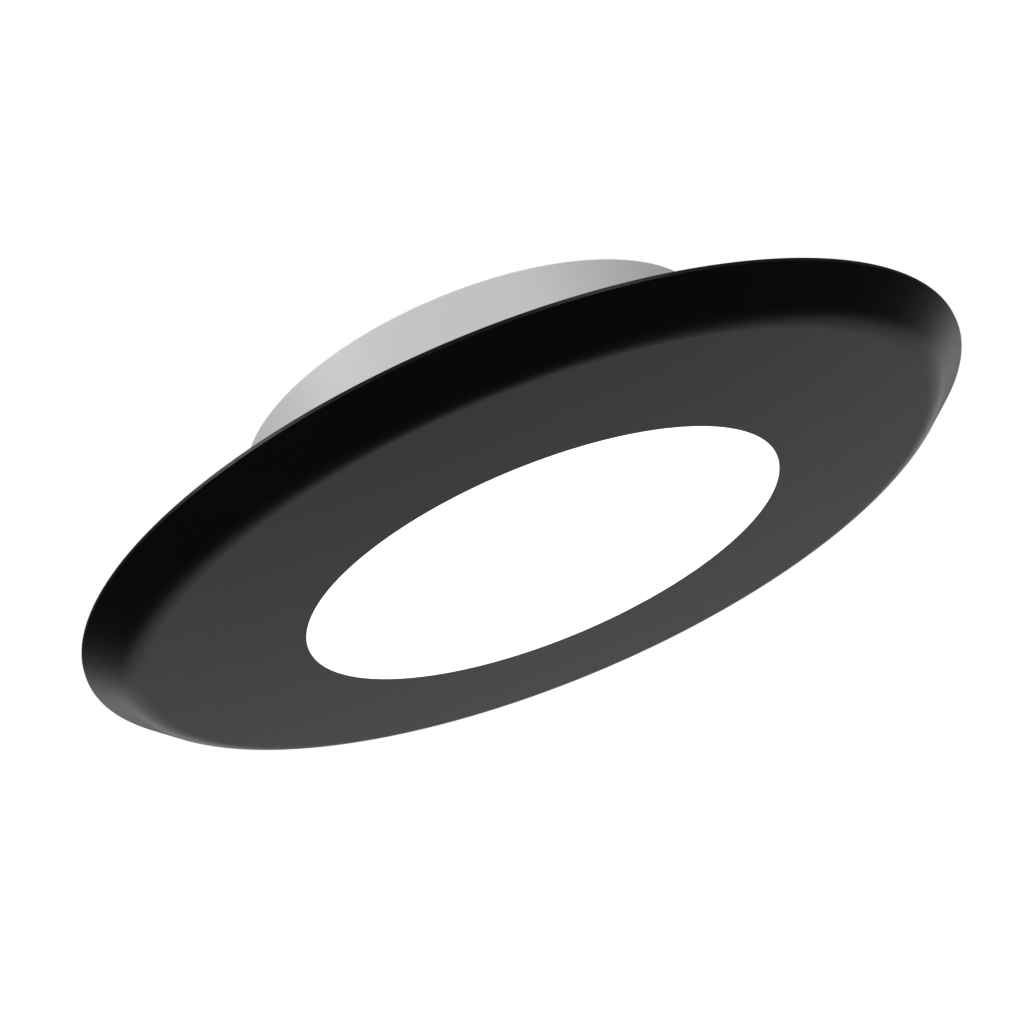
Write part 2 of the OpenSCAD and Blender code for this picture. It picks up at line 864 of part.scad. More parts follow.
// Bracket pressed from sheet: a base on the can's pad, and two ears for the hinge pin
module clip_bracket() {
    ear_r = pin_r + 1.3;
    ear_foot = ear_r + 1.6;
    bend_r = clip_t + 0.3;
    depth = pivot_x + ear_r - pad_x;
    base_t = base_x - pad_x;
    color(steel)
        difference() {
            intersection() {
                translate([0, 0, bracket_low])
                    linear_extrude(height = bracket_high - bracket_low)
                        translate([pad_x, -bracket_w / 2])
                            difference() {
                                rounded_rect([depth + 2 * bend_r, bracket_w], bend_r);
                                translate([base_t, clip_t])
                                    square([depth + 2 * bend_r, bracket_w - 2 * clip_t]);
                            }
                translate([0, bracket_w / 2 + eps, 0])
                    rotate([90, 0, 0])
                        linear_extrude(height = bracket_w + 2 * eps)
                            union() {
                                translate([pad_x, bracket_low])
                                    square([base_t, bracket_high - bracket_low]);
                                polygon([
                                    [pad_x, pivot_z - ear_foot], [pivot_x, pivot_z - ear_r + 0.1],
                                    [pivot_x, pivot_z + ear_r - 0.1], [pad_x, pivot_z + ear_foot]
                                ]);
                                translate([pivot_x, pivot_z])
                                    circle(r = ear_r, $fn = 64);
                            }
            }
            along_pin(pin_r + 0.02, bracket_w / 2 + eps);
            for (z = [clip_screw_low, clip_screw_high])
                translate([pad_x - eps, 0, z])
                    rotate([0, 90, 0])
                        cylinder(r = m25_wafer[0] + 0.1, h = base_t + 2 * eps, $fn = 48);
        }
}

// Cylinder on the hinge axis, reaching y to either side
module along_pin(r, y) {
    translate([pivot_x, y, pivot_z])
        rotate([90, 0, 0])
            cylinder(r = r, h = 2 * y, $fn = 64);
}

module clip_pin() {
    head_r = pin_r + 0.75;
    head_h = 0.7;
    half = bracket_w / 2;
    color(steel)
        translate([pivot_x, 0, pivot_z])
            rotate([90, 0, 0])
                rotate_extrude($fn = 64)
                    polygon([
                        [0, -half - head_h], [head_r - 0.4, -half - head_h], [head_r, -half - 0.2],
                        [head_r, -half], [pin_r, -half], [pin_r, half], [head_r, half],
                        [head_r, half + 0.2], [head_r - 0.4, half + head_h], [0, half + head_h]
                    ]);
}

// One unbroken wire: a tube of triangles swept along spring_line
module clip_spring() {
    sides = [for (k = [0 : wire_sides - 1]) 360 * k / wire_sides];
    points = [
        for (p = spring_line)
            for (a = sides)
                p[0] + wire_r * (cos(a) * coil_side(p[1]) + sin(a) * [0, 1, 0])
    ];
    rings = len(spring_line);
    last = (rings - 1) * wire_sides;
    walls = [
        for (i = [0 : rings - 2])
            for (k = [0 : wire_sides - 1])
                let (
                    a = i * wire_sides + k,
                    b = i * wire_sides + (k + 1) % wire_sides,
                    c = a + wire_sides,
                    d = b + wire_sides
                )
                    each [[a, b, d], [a, d, c]]
    ];
    ends = [
        for (k = [1 : wire_sides - 2])
            each [[0, k + 1, k], [last, last + k, last + k + 1]]
    ];
    color("#8d9196")
        polyhedron(points = points, faces = concat(walls, ends));
}

// Places children in the arm's own frame at rest
module at_arm() {
    translate([pivot_x, 0, pivot_z])
        rotate([0, droop, 0])
            children();
}

// Places children on the middle of the tip plate, x along it from the bend
module at_tip() {
    translate([arm_len, 0, channel_z])
        rotate([0, -tip_bend, 0])
            children();
}

// Plan outline of the tip, reaching past the plate by grow on all sides
module tip_plan(grow, start, corner) {
    translate([start, -tip_w / 2 - grow])
        rounded_rect([tip_len + grow - start, tip_w + 2 * grow], corner);
}

// Bent plate along the arm, seen from its side
module arm_strip() {
    half = clip_t / 2;
    miter = half * tan(tip_bend / 2);
    tip = [cos(tip_bend), sin(tip_bend)];
    up = [-sin(tip_bend), cos(tip_bend)];
    bend = [arm_len, channel_z];
    polygon([
        [1, channel_z - half], bend + [miter, -half],
        bend + tip_len * tip - half * up, bend + tip_len * tip + half * up,
        bend + [-miter, half], [1, channel_z + half]
    ]);
}

// Round-ended rod along the arm, which ends bead_end short of the bend, its middle at z
module bead_rod(r, z) {
    bead_end = 1.6;
    far_x = arm_len - bead_end;
    for (x = [far_x - bead_len + 2 * r, far_x])
        translate([x - r, 0, z])
            sphere(r = r, $fn = 48);
    translate([far_x - bead_len + r, 0, z])
        rotate([0, 90, 0])
            cylinder(r = r, h = bead_len - 2 * r, $fn = 48);
}

// Arm pressed from sheet: a channel round the coil that narrows into a bent tip, with a
// bead pressed up into the channel's floor
module clip_arm() {
    bead_r = 0.9;
    bead_rise = clip_t * 0.45;
    ear_r = pin_r + 0.8;
    outer = arm_ear_y + clip_t;
    floor_z = channel_z - clip_t / 2;
    channel_end = arm_len - 1.5;
    tip_x = arm_len + tip_len * cos(tip_bend) + clip_t / 2 * sin(tip_bend);
    color(steel)
        at_arm()
            difference() {
                union() {
                    intersection() {
                        translate([0, outer, 0])
                            rotate([90, 0, 0])
                                linear_extrude(height = 2 * outer)
                                    arm_strip();
                        translate([0, 0, floor_z - eps])
                            linear_extrude(height = tip_len + 2 * eps)
                                union() {
                                    polygon([
                                        [0, -outer], [channel_end, -outer], [arm_len, -tip_w / 2],
                                        [arm_len, tip_w / 2], [channel_end, outer], [0, outer]
                                    ]);
                                    translate([arm_len - tip_corner, -tip_w / 2])
                                        rounded_rect([tip_x - arm_len + tip_corner, tip_w], tip_corner);
                                }
                    }
                    for (y = [-arm_ear_y, outer])
                        translate([0, y, 0])
                            rotate([90, 0, 0])
                                linear_extrude(height = clip_t)
                                    union() {
                                        circle(r = ear_r, $fn = 64);
                                        polygon([
                                            [-ear_r + 0.1, 0], [1, floor_z], [channel_end, floor_z],
                                            [channel_end, floor_z + clip_t], [ear_r + 0.9, 0.2],
                                            [0.6, ear_r - 0.15]
                                        ]);
                                    }
                    bead_rod(bead_r, channel_z + clip_t / 2 + bead_rise - bead_r);
                }
                bead_rod(bead_r, floor_z + bead_rise - bead_r);
                translate([0, outer + eps, 0])
                    rotate([90, 0, 0])
                        cylinder(r = pin_r + pin_fit, h = 2 * (outer + eps), $fn = 64);
            }
}

// Soft sleeve pushed over the arm's tip
module clip_sleeve() {
    start = 0.8;
    pocket = 0.05;
    half = clip_t / 2;
    color(rubber_black)
        at_arm()
            at_tip()
                difference() {
                    translate([0, 0, -half - sleeve_wall])
                        linear_extrude(height = clip_t + 2 * sleeve_wall)
                            tip_plan(sleeve_wall, start, tip_corner + sleeve_wall);
                    translate([0, 0, -half - pocket])
                        linear_extrude(height = clip_t + 2 * pocket)
                            tip_plan(pocket, start - tip_w / 2, tip_corner / 2);
                }
}

module clip_screws() {
    color(steel)
        for (a = [0, 180])
            rotate([0, 0, a])
                for (z = [clip_screw_low, clip_screw_high])
                    translate([base_x, 0, z])
                        rotate([0, 90, 0])
                            pan_screw(m25_wafer, clip_screw_len + base_x - pad_x);
}

// The left clip is the right one turned half round the can.
module turned() {
    rotate([0, 0, 180])
        children();
}

module clip_bracket_right() { clip_bracket(); }
module clip_pin_right() { clip_pin(); }
module clip_spring_right() { clip_spring(); }
module clip_arm_right() { clip_arm(); }
module clip_sleeve_right() { clip_sleeve(); }
module clip_bracket_left() { turned() clip_bracket(); }
module clip_pin_left() { turned() clip_pin(); }
module clip_spring_left() { turned() clip_spring(); }
module clip_arm_left() { turned() clip_arm(); }
module clip_sleeve_left() { turned() clip_sleeve(); }

trim_ring();
soffit_gasket();
diffuser();
diffuser_gasket();
reflector();
led_board();
led_chips();
led_connector();
thermal_pad();
board_screws();
housing();
trim_screws();
web_grommet();
lead_red();
lead_black();
insulating_sheet();
driver_board();
power_inductor();
capacitors();
rectifier_diodes();
control_chip();
terminal_block();
terminal_screws();
driver_screws();
rear_gasket();
rear_cover();
cover_screws();
gland_washer();
gland_body();
gland_seal();
gland_nut();
gland_locknut();
clip_screws();
clip_bracket_right();
clip_pin_right();
clip_spring_right();
clip_arm_right();
clip_sleeve_right();
clip_bracket_left();
clip_pin_left();
clip_spring_left();
clip_arm_left();
clip_sleeve_left();
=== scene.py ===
"""Soffit downlight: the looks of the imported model, in metres, in the model's own frame.

The origin is the centre of the trim's rim, +Z points up into the soffit, and the lit face
looks down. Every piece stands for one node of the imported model, in that node's place.
Section outlines are written in millimetres, as (x or radius, height, corner radius).
"""

import json
import math

import bmesh
import bpy
from mathutils import Matrix, Vector, geometry, noise


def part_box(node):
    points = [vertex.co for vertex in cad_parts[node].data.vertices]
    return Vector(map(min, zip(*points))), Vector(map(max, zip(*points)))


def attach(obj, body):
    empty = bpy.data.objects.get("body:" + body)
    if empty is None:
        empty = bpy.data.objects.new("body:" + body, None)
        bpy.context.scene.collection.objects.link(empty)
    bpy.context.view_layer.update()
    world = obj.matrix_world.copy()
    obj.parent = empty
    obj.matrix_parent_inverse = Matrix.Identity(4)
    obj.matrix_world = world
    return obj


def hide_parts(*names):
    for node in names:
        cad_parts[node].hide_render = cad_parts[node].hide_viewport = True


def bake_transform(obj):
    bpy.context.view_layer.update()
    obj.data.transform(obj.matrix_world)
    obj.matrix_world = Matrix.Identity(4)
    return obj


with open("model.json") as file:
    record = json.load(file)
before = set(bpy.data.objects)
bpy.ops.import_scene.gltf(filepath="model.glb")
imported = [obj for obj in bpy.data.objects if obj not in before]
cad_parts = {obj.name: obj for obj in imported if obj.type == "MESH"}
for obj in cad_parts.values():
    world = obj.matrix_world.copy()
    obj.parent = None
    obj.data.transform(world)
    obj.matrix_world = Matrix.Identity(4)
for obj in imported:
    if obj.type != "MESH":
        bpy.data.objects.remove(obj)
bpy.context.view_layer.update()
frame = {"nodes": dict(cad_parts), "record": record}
NODES = frame["nodes"]
SLOT_OF = {name: node.data.materials[0].name for name, node in NODES.items()}
BODY_OF = {name: body for body, names in frame["record"]["behaviour"]["bodies"].items() for name in names}
MM = 0.001


def low_mm(node):
    """Lowest corner of a node, in millimetres."""
    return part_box(node)[0] / MM


def high_mm(node):
    """Highest corner of a node, in millimetres."""
    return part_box(node)[1] / MM


TRIM_R = round(high_mm("trim_ring").x, 1)
FACE_Z = low_mm("trim_ring").z
WALL = 2.0          # of the trim casting
BACK_Z = FACE_Z + WALL
FIT = 0.2           # between loose round parts
CAN_R = 30.0
OPENING_R = CAN_R - 0.1
LENS_R = OPENING_R - FIT


# ---- materials ----

NOISE_LOW, NOISE_HIGH = 0.3, 0.7    # most values of a noise texture lie between these
DRIFT_SCALE = 60                    # features a metre of the slow drift in tone


def material(name):
    """A new material, its nodes and links, and its Principled shader."""
    made = bpy.data.materials.new(name)
    made.use_nodes = True
    return made, made.node_tree.nodes, made.node_tree.links, made.node_tree.nodes["Principled BSDF"]


def noise_at(nodes, links, scale, detail=3.0, rough=0.55):
    """Noise in the object's own space; scale is in features a metre."""
    place = nodes.new("ShaderNodeTexCoord")
    made = nodes.new("ShaderNodeTexNoise")
    made.inputs["Scale"].default_value = scale
    made.inputs["Detail"].default_value = detail
    made.inputs["Roughness"].default_value = rough
    links.new(place.outputs["Object"], made.inputs["Vector"])
    return made.outputs["Fac"]


def mapped(nodes, links, value, low, high):
    """The usual range of a noise value, mapped to low..high."""
    span = nodes.new("ShaderNodeMapRange")
    span.inputs["From Min"].default_value = NOISE_LOW
    span.inputs["From Max"].default_value = NOISE_HIGH
    span.inputs["To Min"].default_value = low
    span.inputs["To Max"].default_value = high
    links.new(value, span.inputs["Value"])
    return span.outputs["Result"]


def tinted(nodes, links, value, dark, light):
    """A colour that runs from dark to light over the usual range of a noise value."""
    ramp = nodes.new("ShaderNodeValToRGB")
    ramp.color_ramp.elements[0].position = NOISE_LOW
    ramp.color_ramp.elements[1].position = NOISE_HIGH
    ramp.color_ramp.elements[0].color = (*dark, 1)
    ramp.color_ramp.elements[1].color = (*light, 1)
    links.new(value, ramp.inputs["Fac"])
    return ramp.outputs["Color"]


def bumped(nodes, links, shader, height, depth):
    """Bump of a real depth in metres on the shader's normal."""
    bump = nodes.new("ShaderNodeBump")
    bump.inputs["Distance"].default_value = depth
    links.new(height, bump.inputs["Height"])
    links.new(bump.outputs["Normal"], shader.inputs["Normal"])


def coated(name, dark, light, rough, specular=0.5, grain=4500, depth=2e-6, metallic=0.0):
    """Painted, moulded or plated surface: a slow drift in tone, and a fine grain in gloss and height."""
    made, nodes, links, shader = material(name)
    slow = noise_at(nodes, links, DRIFT_SCALE)
    fine = noise_at(nodes, links, grain, 2.0)
    links.new(tinted(nodes, links, slow, dark, light), shader.inputs["Base Color"])
    links.new(mapped(nodes, links, fine, rough[0], rough[1]), shader.inputs["Roughness"])
    shader.inputs["Specular IOR Level"].default_value = specular
    shader.inputs["Metallic"].default_value = metallic
    bumped(nodes, links, shader, fine, depth)
    return made


def porous(name, dark, light):
    """Cut foam: dull open pores some 0.4 mm across, with painted shade that darkens them towards their
    middles, and an uneven gloss.
    """
    pores, wall_from, patches, pore_depth = 2600, 0.7, 400, 1.2e-4
    made, nodes, links, shader = material(name)
    place = nodes.new("ShaderNodeTexCoord")
    cells = nodes.new("ShaderNodeTexVoronoi")
    cells.inputs["Scale"].default_value = pores
    links.new(place.outputs["Object"], cells.inputs["Vector"])
    pore_rise_and_shade = nodes.new("ShaderNodeMapRange")
    pore_rise_and_shade.inputs["From Max"].default_value = wall_from
    links.new(cells.outputs["Distance"], pore_rise_and_shade.inputs["Value"])
    # The sunken middles of the pores take the dark tone and their walls the light one: painted shade in the
    # pores.
    links.new(tinted(nodes, links, pore_rise_and_shade.outputs["Result"], dark, light), shader.inputs["Base Color"])
    uneven = noise_at(nodes, links, patches)
    links.new(mapped(nodes, links, uneven, 0.82, 0.98), shader.inputs["Roughness"])
    shader.inputs["Specular IOR Level"].default_value = 0.2
    bumped(nodes, links, shader, pore_rise_and_shade.outputs["Result"], pore_depth)
    return made


def lit_opal(name):
    """Opal sheet lit evenly from behind."""
    clouds, dark, light = 900, (0.9, 0.9, 0.89), (0.93, 0.93, 0.92)
    made, nodes, links, shader = material(name)
    cloud = noise_at(nodes, links, clouds, 2.0)
    links.new(tinted(nodes, links, cloud, dark, light), shader.inputs["Base Color"])
    shader.inputs["Roughness"].default_value = 0.35
    shader.inputs["Emission Color"].default_value = (1.0, 0.995, 0.985, 1)
    shader.inputs["Emission Strength"].default_value = 1.0
    return made


# By material slot: name, dark and light tone, roughness, and what else the finish needs
MATERIALS = {
    "trim_black": coated(
        "satin_black_coat", (0.0035, 0.0035, 0.0036), (0.0045, 0.0045, 0.0046), (0.34, 0.4), 0.5,
    ),
    "can_grey": coated(
        "light_grey_coat", (0.53, 0.53, 0.53), (0.56, 0.56, 0.56), (0.4, 0.5), 0.4, 1700, 6e-6,
    ),
    "opal": lit_opal("opal_lit"),
    # The darker foam tone is painted shade in the pits of the pores; the lighter one is the tone of their
    # walls.
    "foam": porous("closed_cell_foam", (0.02, 0.02, 0.021), (0.05, 0.05, 0.052)),
    "seal_rubber": coated("seal_silicone", (0.024, 0.024, 0.026), (0.034, 0.034, 0.036), (0.5, 0.62), 0.35),
    "gland_rubber": coated("gland_rubber", (0.13, 0.14, 0.15), (0.17, 0.18, 0.19), (0.55, 0.68), 0.35),
    "sleeve_rubber": coated("sleeve_vinyl", (0.028, 0.028, 0.03), (0.042, 0.042, 0.045), (0.42, 0.55), 0.4),
    "white_plastic": coated("reflector_white", (0.82, 0.82, 0.8), (0.88, 0.88, 0.86), (0.35, 0.45), 0.4),
    "board_white": coated("board_white_mask", (0.8, 0.81, 0.78), (0.87, 0.88, 0.85), (0.3, 0.4), 0.5),
    "led_phosphor": coated("led_phosphor", (0.82, 0.6, 0.16), (0.9, 0.7, 0.25), (0.2, 0.3), 0.5),
    "pad_grey": coated("thermal_pad", (0.25, 0.29, 0.33), (0.3, 0.34, 0.38), (0.7, 0.85), 0.3),
    "screw_steel": coated(
        "zinc_plate", (0.34, 0.345, 0.35), (0.42, 0.425, 0.43), (0.5, 0.58), 0.5, 2600, 1.5e-6, 1.0,
    ),
    "clip_steel": coated(
        "zinc_sheet", (0.5, 0.51, 0.52), (0.6, 0.61, 0.62), (0.33, 0.37), 0.5, 2500, 3e-7, 1.0,
    ),
    "spring_steel": coated(
        "spring_wire", (0.42, 0.43, 0.44), (0.54, 0.55, 0.56), (0.24, 0.36), 0.5, 3000, 1e-6, 1.0,
    ),
    "lead_red": coated("lead_red", (0.42, 0.03, 0.025), (0.5, 0.05, 0.04), (0.3, 0.4)),
    "lead_black": coated("lead_black", (0.02, 0.02, 0.02), (0.032, 0.032, 0.032), (0.3, 0.4)),
    "film": coated("polyester_film", (0.74, 0.7, 0.56), (0.82, 0.78, 0.64), (0.2, 0.3)),
    "board_green": coated("board_green_mask", (0.02, 0.12, 0.05), (0.035, 0.17, 0.075), (0.25, 0.35)),
    "ferrite": coated("ferrite", (0.07, 0.075, 0.08), (0.1, 0.105, 0.11), (0.55, 0.7)),
    "capacitor_yellow": coated("capacitor_case", (0.55, 0.32, 0.02), (0.62, 0.38, 0.035), (0.35, 0.45)),
    "black_plastic": coated(
        "black_nylon", (0.022, 0.022, 0.024), (0.032, 0.032, 0.034), (0.4, 0.52), 0.4, 2200, 4e-6,
    ),
    "terminal_green": coated("terminal_case", (0.045, 0.18, 0.09), (0.065, 0.23, 0.125), (0.35, 0.45)),
}


# ---- mesh tools ----

LARGE_SIDES, MEDIUM_SIDES, SMALL_SIDES = 256, 96, 48    # of turned pieces, by their size


def linked(name, mesh):
    """A new object of that mesh in the scene."""
    made = bpy.data.objects.new(name, mesh)
    bpy.context.scene.collection.objects.link(made)
    return made


def settle(made, *nodes):
    """Gives a piece the finish and body of the nodes that it stands for, and hides those nodes."""
    made.data.materials.clear()
    made.data.materials.append(MATERIALS[SLOT_OF[nodes[0]]])
    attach(made, BODY_OF[nodes[0]])
    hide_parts(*nodes)


def smoothed(made, sharp=40):
    """Smooth shading, with edges sharper than that many degrees left crisp."""
    made.data.shade_smooth()
    made.data.set_sharp_from_angle(angle=math.radians(sharp))
    weighted = made.modifiers.new("normals", "WEIGHTED_NORMAL")
    weighted.keep_sharp = True
    return made


def rounded(outline, step=math.radians(8)):
    """Points of a closed outline whose corners are arcs of the radius that each one names."""
    points = []
    for i, (x, y, radius) in enumerate(outline):
        here = Vector((x, y))
        back = (Vector(outline[i - 1][:2]) - here).normalized()
        on = (Vector(outline[(i + 1) % len(outline)][:2]) - here).normalized()
        if not radius:
            points.append(here)
            continue
        half = back.angle(on) / 2
        centre = here + (back + on).normalized() * radius / math.sin(half)
        first = (here + back * radius / math.tan(half) - centre).normalized()
        last = (here + on * radius / math.tan(half) - centre).normalized()
        count = max(2, math.ceil((math.pi - 2 * half) / step))
        points += [centre + radius * first.slerp(last, k / count) for k in range(count + 1)]
    return points


def lathe(name, points, centre=(0, 0), segments=192):
    """Closed section in millimetres, as (radius, height), turned round an upright line."""
    bm = bmesh.new()
    rings = []
    for i in range(segments):
        turn = 2 * math.pi * i / segments
        rings.append([
            bm.verts.new(Vector((centre[0] + r * math.cos(turn), centre[1] + r * math.sin(turn), z)) * MM)
            for r, z in points
        ])
    for i, ring in enumerate(rings):
        after = rings[(i + 1) % segments]
        for k in range(len(points)):
            m = (k + 1) % len(points)
            if max(points[k][0], points[m][0]) > 0:
                bm.faces.new((ring[k], after[k], after[m], ring[m]))
    bmesh.ops.remove_doubles(bm, verts=bm.verts, dist=1e-7)
    bmesh.ops.recalc_face_normals(bm, faces=bm.faces)
    mesh = bpy.data.meshes.new(name)
    bm.to_mesh(mesh)
    bm.free()
    return linked(name, mesh)


def softened(node, width):
    """Copy of a node's shape with its edges broken by a small round; width in millimetres."""
    flat_within, edge_from = math.radians(0.2), math.radians(30)
    bm = bmesh.new()
    bm.from_mesh(NODES[node].data)
    bmesh.ops.remove_doubles(bm, verts=bm.verts, dist=1e-6)
    bmesh.ops.dissolve_limit(bm, angle_limit=flat_within, verts=bm.verts, edges=bm.edges)
    mesh = bpy.data.meshes.new(node + "_finished")
    bm.to_mesh(mesh)
    bm.free()
    made = linked(node + "_finished", mesh)
    bevel = made.modifiers.new("edges", "BEVEL")
    bevel.width = width * MM
    bevel.segments = 2
    bevel.limit_method = "ANGLE"
    bevel.angle_limit = edge_from
    bevel.use_clamp_overlap = True
    return smoothed(made)


def lofted(name, rings):
    """Closed skin through rings that have the same number of points, in millimetres."""
    bm = bmesh.new()
    made = [[bm.verts.new(Vector(q) * MM) for q in ring] for ring in rings]
    for one, other in zip(made, made[1:]):
        for k in range(len(one)):
            m = (k + 1) % len(one)
            bm.faces.new((one[k], one[m], other[m], other[k]))
    bm.faces.new(made[0])
    bm.faces.new(made[-1])
    bmesh.ops.recalc_face_normals(bm, faces=bm.faces)
    mesh = bpy.data.meshes.new(name)
    bm.to_mesh(mesh)
    bm.free()
    return linked(name, mesh)


def merged(name, parts):
    """One mesh object of all the parts, which it takes the place of."""
    bm = bmesh.new()
    for part in parts:
        bm.from_mesh(part.data)
        bpy.data.objects.remove(part)
    mesh = bpy.data.meshes.new(name)
    bm.to_mesh(mesh)
    bm.free()
    return linked(name, mesh)


def carved(base, cutters):
    """The base with the shapes of the cutters taken away; the cutters are used up."""
    cutter = merged("cutter", cutters)
    cut = base.modifiers.new("cut", "BOOLEAN")
    cut.object = cutter
    cut.solver = "EXACT"
    graph = bpy.context.evaluated_depsgraph_get()
    mesh = bpy.data.meshes.new_from_object(base.evaluated_get(graph))
    base.modifiers.clear()
    base.data = mesh
    bpy.data.objects.remove(cutter)
    return base


def block(name, low, high, edge):
    """Rectangular block between two corners with its edges rounded; millimetres."""
    bm = bmesh.new()
    bmesh.ops.create_cube(bm, size=1)
    for vert in bm.verts:
        vert.co = Vector(l + (h - l) * (c + 0.5) for l, h, c in zip(low, high, vert.co)) * MM
    bmesh.ops.bevel(bm, geom=bm.edges[:], offset=edge * MM, segments=4, profile=0.5, affect="EDGES")
    mesh = bpy.data.meshes.new(name)
    bm.to_mesh(mesh)
    bm.free()
    return linked(name, mesh)


def places(count, radius, first):
    """Points evenly round a circle, the first at that angle in degrees."""
    return [(radius * math.cos(a), radius * math.sin(a))
            for a in (math.radians(first + 360 * k / count) for k in range(count))]


def cut_blank(outline, holes, lines, spacing):
    """Flat sheet inside an outline and outside its holes, as points and triangles.

    Each line is an edge that the mesh has to keep, such as a fold; the other points are spacing apart.
    """
    points, edges = [], []
    for loop in (outline, *holes):
        first = len(points)
        points += loop
        edges += [(first + i, first + (i + 1) % len(loop)) for i in range(len(loop))]
    for line in lines:
        edges.append((len(points), len(points) + 1))
        points += [Vector(end) for end in line]
    low = Vector((min(q.x for q in outline), min(q.y for q in outline)))
    high = Vector((max(q.x for q in outline), max(q.y for q in outline)))
    across, upward = (math.ceil(side / spacing) for side in high - low)
    for j in range(1, upward):
        for i in range(1, across):
            q = Vector((
                low.x + (high.x - low.x) * (i + 0.5 * (j % 2)) / across,
                low.y + (high.y - low.y) * j / upward,
            ))
            near = min((q - edge).length for loop in (outline, *holes) for edge in loop)
            if near > spacing * 0.5:
                points.append(q)
    verts, _, faces, *_ = geometry.delaunay_2d_cdt(points, edges, [], 0, 1e-6)
    kept = []
    for face in faces:
        middle = sum((verts[i] for i in face), Vector((0, 0))) / len(face)
        if inside(middle, outline) and not any(inside(middle, hole) for hole in holes):
            kept.append(face)
    return verts, kept


def inside(point, loop):
    """Whether a point lies within a closed loop."""
    crossings = 0
    for a, b in zip(loop, loop[1:] + loop[:1]):
        if (a.y > point.y) != (b.y > point.y):
            crossings += point.x < a.x + (point.y - a.y) / (b.y - a.y) * (b.x - a.x)
    return crossings % 2 == 1


def divided(loop, longest):
    """A closed loop with its long sides split."""
    points = []
    for a, b in zip(loop, loop[1:] + loop[:1]):
        count = max(1, math.ceil((b - a).length / longest))
        points += [a.lerp(b, k / count) for k in range(count)]
    return points


def circle(x, y, radius, count=32):
    """Points round a circle."""
    return [Vector((x, y)) + radius * Vector((math.cos(t), math.sin(t)))
            for t in (2 * math.pi * k / count for k in range(count))]


def pressed(name, blank, shape, thickness):
    """Sheet-metal piece: a flat blank folded by shape(), which takes millimetres to millimetres."""
    cut_edge, edge_from = 0.08, math.radians(50)
    verts, faces = blank
    bm = bmesh.new()
    made = [bm.verts.new(Vector(shape(q)) * MM) for q in verts]
    for face in faces:
        bm.faces.new([made[i] for i in face])
    bmesh.ops.delete(bm, geom=[q for q in bm.verts if not q.link_faces], context="VERTS")
    mesh = bpy.data.meshes.new(name)
    bm.to_mesh(mesh)
    bm.free()
    sheet = linked(name, mesh)
    thicken = sheet.modifiers.new("thickness", "SOLIDIFY")
    thicken.thickness = thickness * MM
    thicken.offset = 0
    thicken.use_even_offset = True
    edge = sheet.modifiers.new("edges", "BEVEL")
    edge.width = cut_edge * MM
    edge.segments = 2
    edge.limit_method = "ANGLE"
    edge.angle_limit = edge_from
    return smoothed(sheet)


def swept(name, path, radius):
    """Round wire along a path of (point, outward direction), its ends domed; in millimetres."""
    sides, dome = 14, [math.radians(t) for t in (15, 35, 60)]
    rings = []

    def ring(centre, along, out, size):
        """Adds a ring of that radius round a point, square to the wire."""
        up = along.cross(out).normalized()
        out = up.cross(along)
        rings.append([centre + size * (math.cos(t) * out + math.sin(t) * up)
                      for t in (2 * math.pi * k / sides for k in range(sides))])

    def end(i, side):
        """Adds the rings of the dome at an end of the path, from the tip for side -1."""
        for t in dome[::-side]:
            rise = ways[i] * radius * 0.5 * (math.cos(t) - 1)
            ring(path[i][0] + side * rise, ways[i], path[i][1], radius * math.sin(t))

    last = len(path) - 1
    ways = [(path[min(i + 1, last)][0] - path[max(i - 1, 0)][0]).normalized() for i in range(len(path))]
    end(0, -1)
    for (point, out), way in zip(path[1:-1], ways[1:-1]):
        ring(point, way, out, radius)
    end(-1, 1)
    wire = lofted(name, rings)
    wire.data.shade_smooth()
    return wire


# ---- pieces ----

def make_trim():
    """Casting of even wall: flat face, round blend, sloping edge, plain rim, and a rib on its back."""
    rim_edge, blend, slope = 0.4, 4.4, math.radians(40)
    rib_inner, rib_outer, rib_z = CAN_R + 11.2, CAN_R + 12, -0.7
    edge_round, rim_round, opening_round = 0.12, 0.05, 0.05
    front_corner = TRIM_R - (-rim_edge - FACE_Z) / math.tan(slope)
    inner_r = TRIM_R + rim_edge / math.tan(slope) - WALL / math.sin(slope)
    back_corner = inner_r + BACK_Z / math.tan(slope)
    section = rounded([
        (OPENING_R, FACE_Z, opening_round), (front_corner, FACE_Z, blend), (TRIM_R, -rim_edge, rim_round),
        (TRIM_R, 0, rim_round), (inner_r, 0, edge_round), (back_corner, BACK_Z, blend - WALL),
        (rib_outer, BACK_Z, edge_round), (rib_outer, rib_z, edge_round), (rib_inner, rib_z, edge_round),
        (rib_inner, BACK_Z, edge_round), (OPENING_R, BACK_Z, edge_round),
    ], math.radians(3))
    settle(smoothed(lathe("trim_casting", section, segments=LARGE_SIDES)), "trim_ring")


def make_lens():
    """Opal disc that fills the opening, with an upstand and a flange behind the trim."""
    flange, flange_z = high_mm("diffuser"), BACK_Z + 0.5
    front_r, upstand_r = OPENING_R - 0.03, LENS_R - 1.25
    section = rounded([
        (0, FACE_Z, 0), (front_r, FACE_Z, 0.05), (front_r, flange_z, 0.1), (flange.x, flange_z, 0.2),
        (flange.x, flange.z, 0.2), (upstand_r, flange.z, 0.15), (upstand_r, BACK_Z, 0.4), (0, BACK_Z, 0),
    ])
    settle(smoothed(lathe("lens", section)), "diffuser")


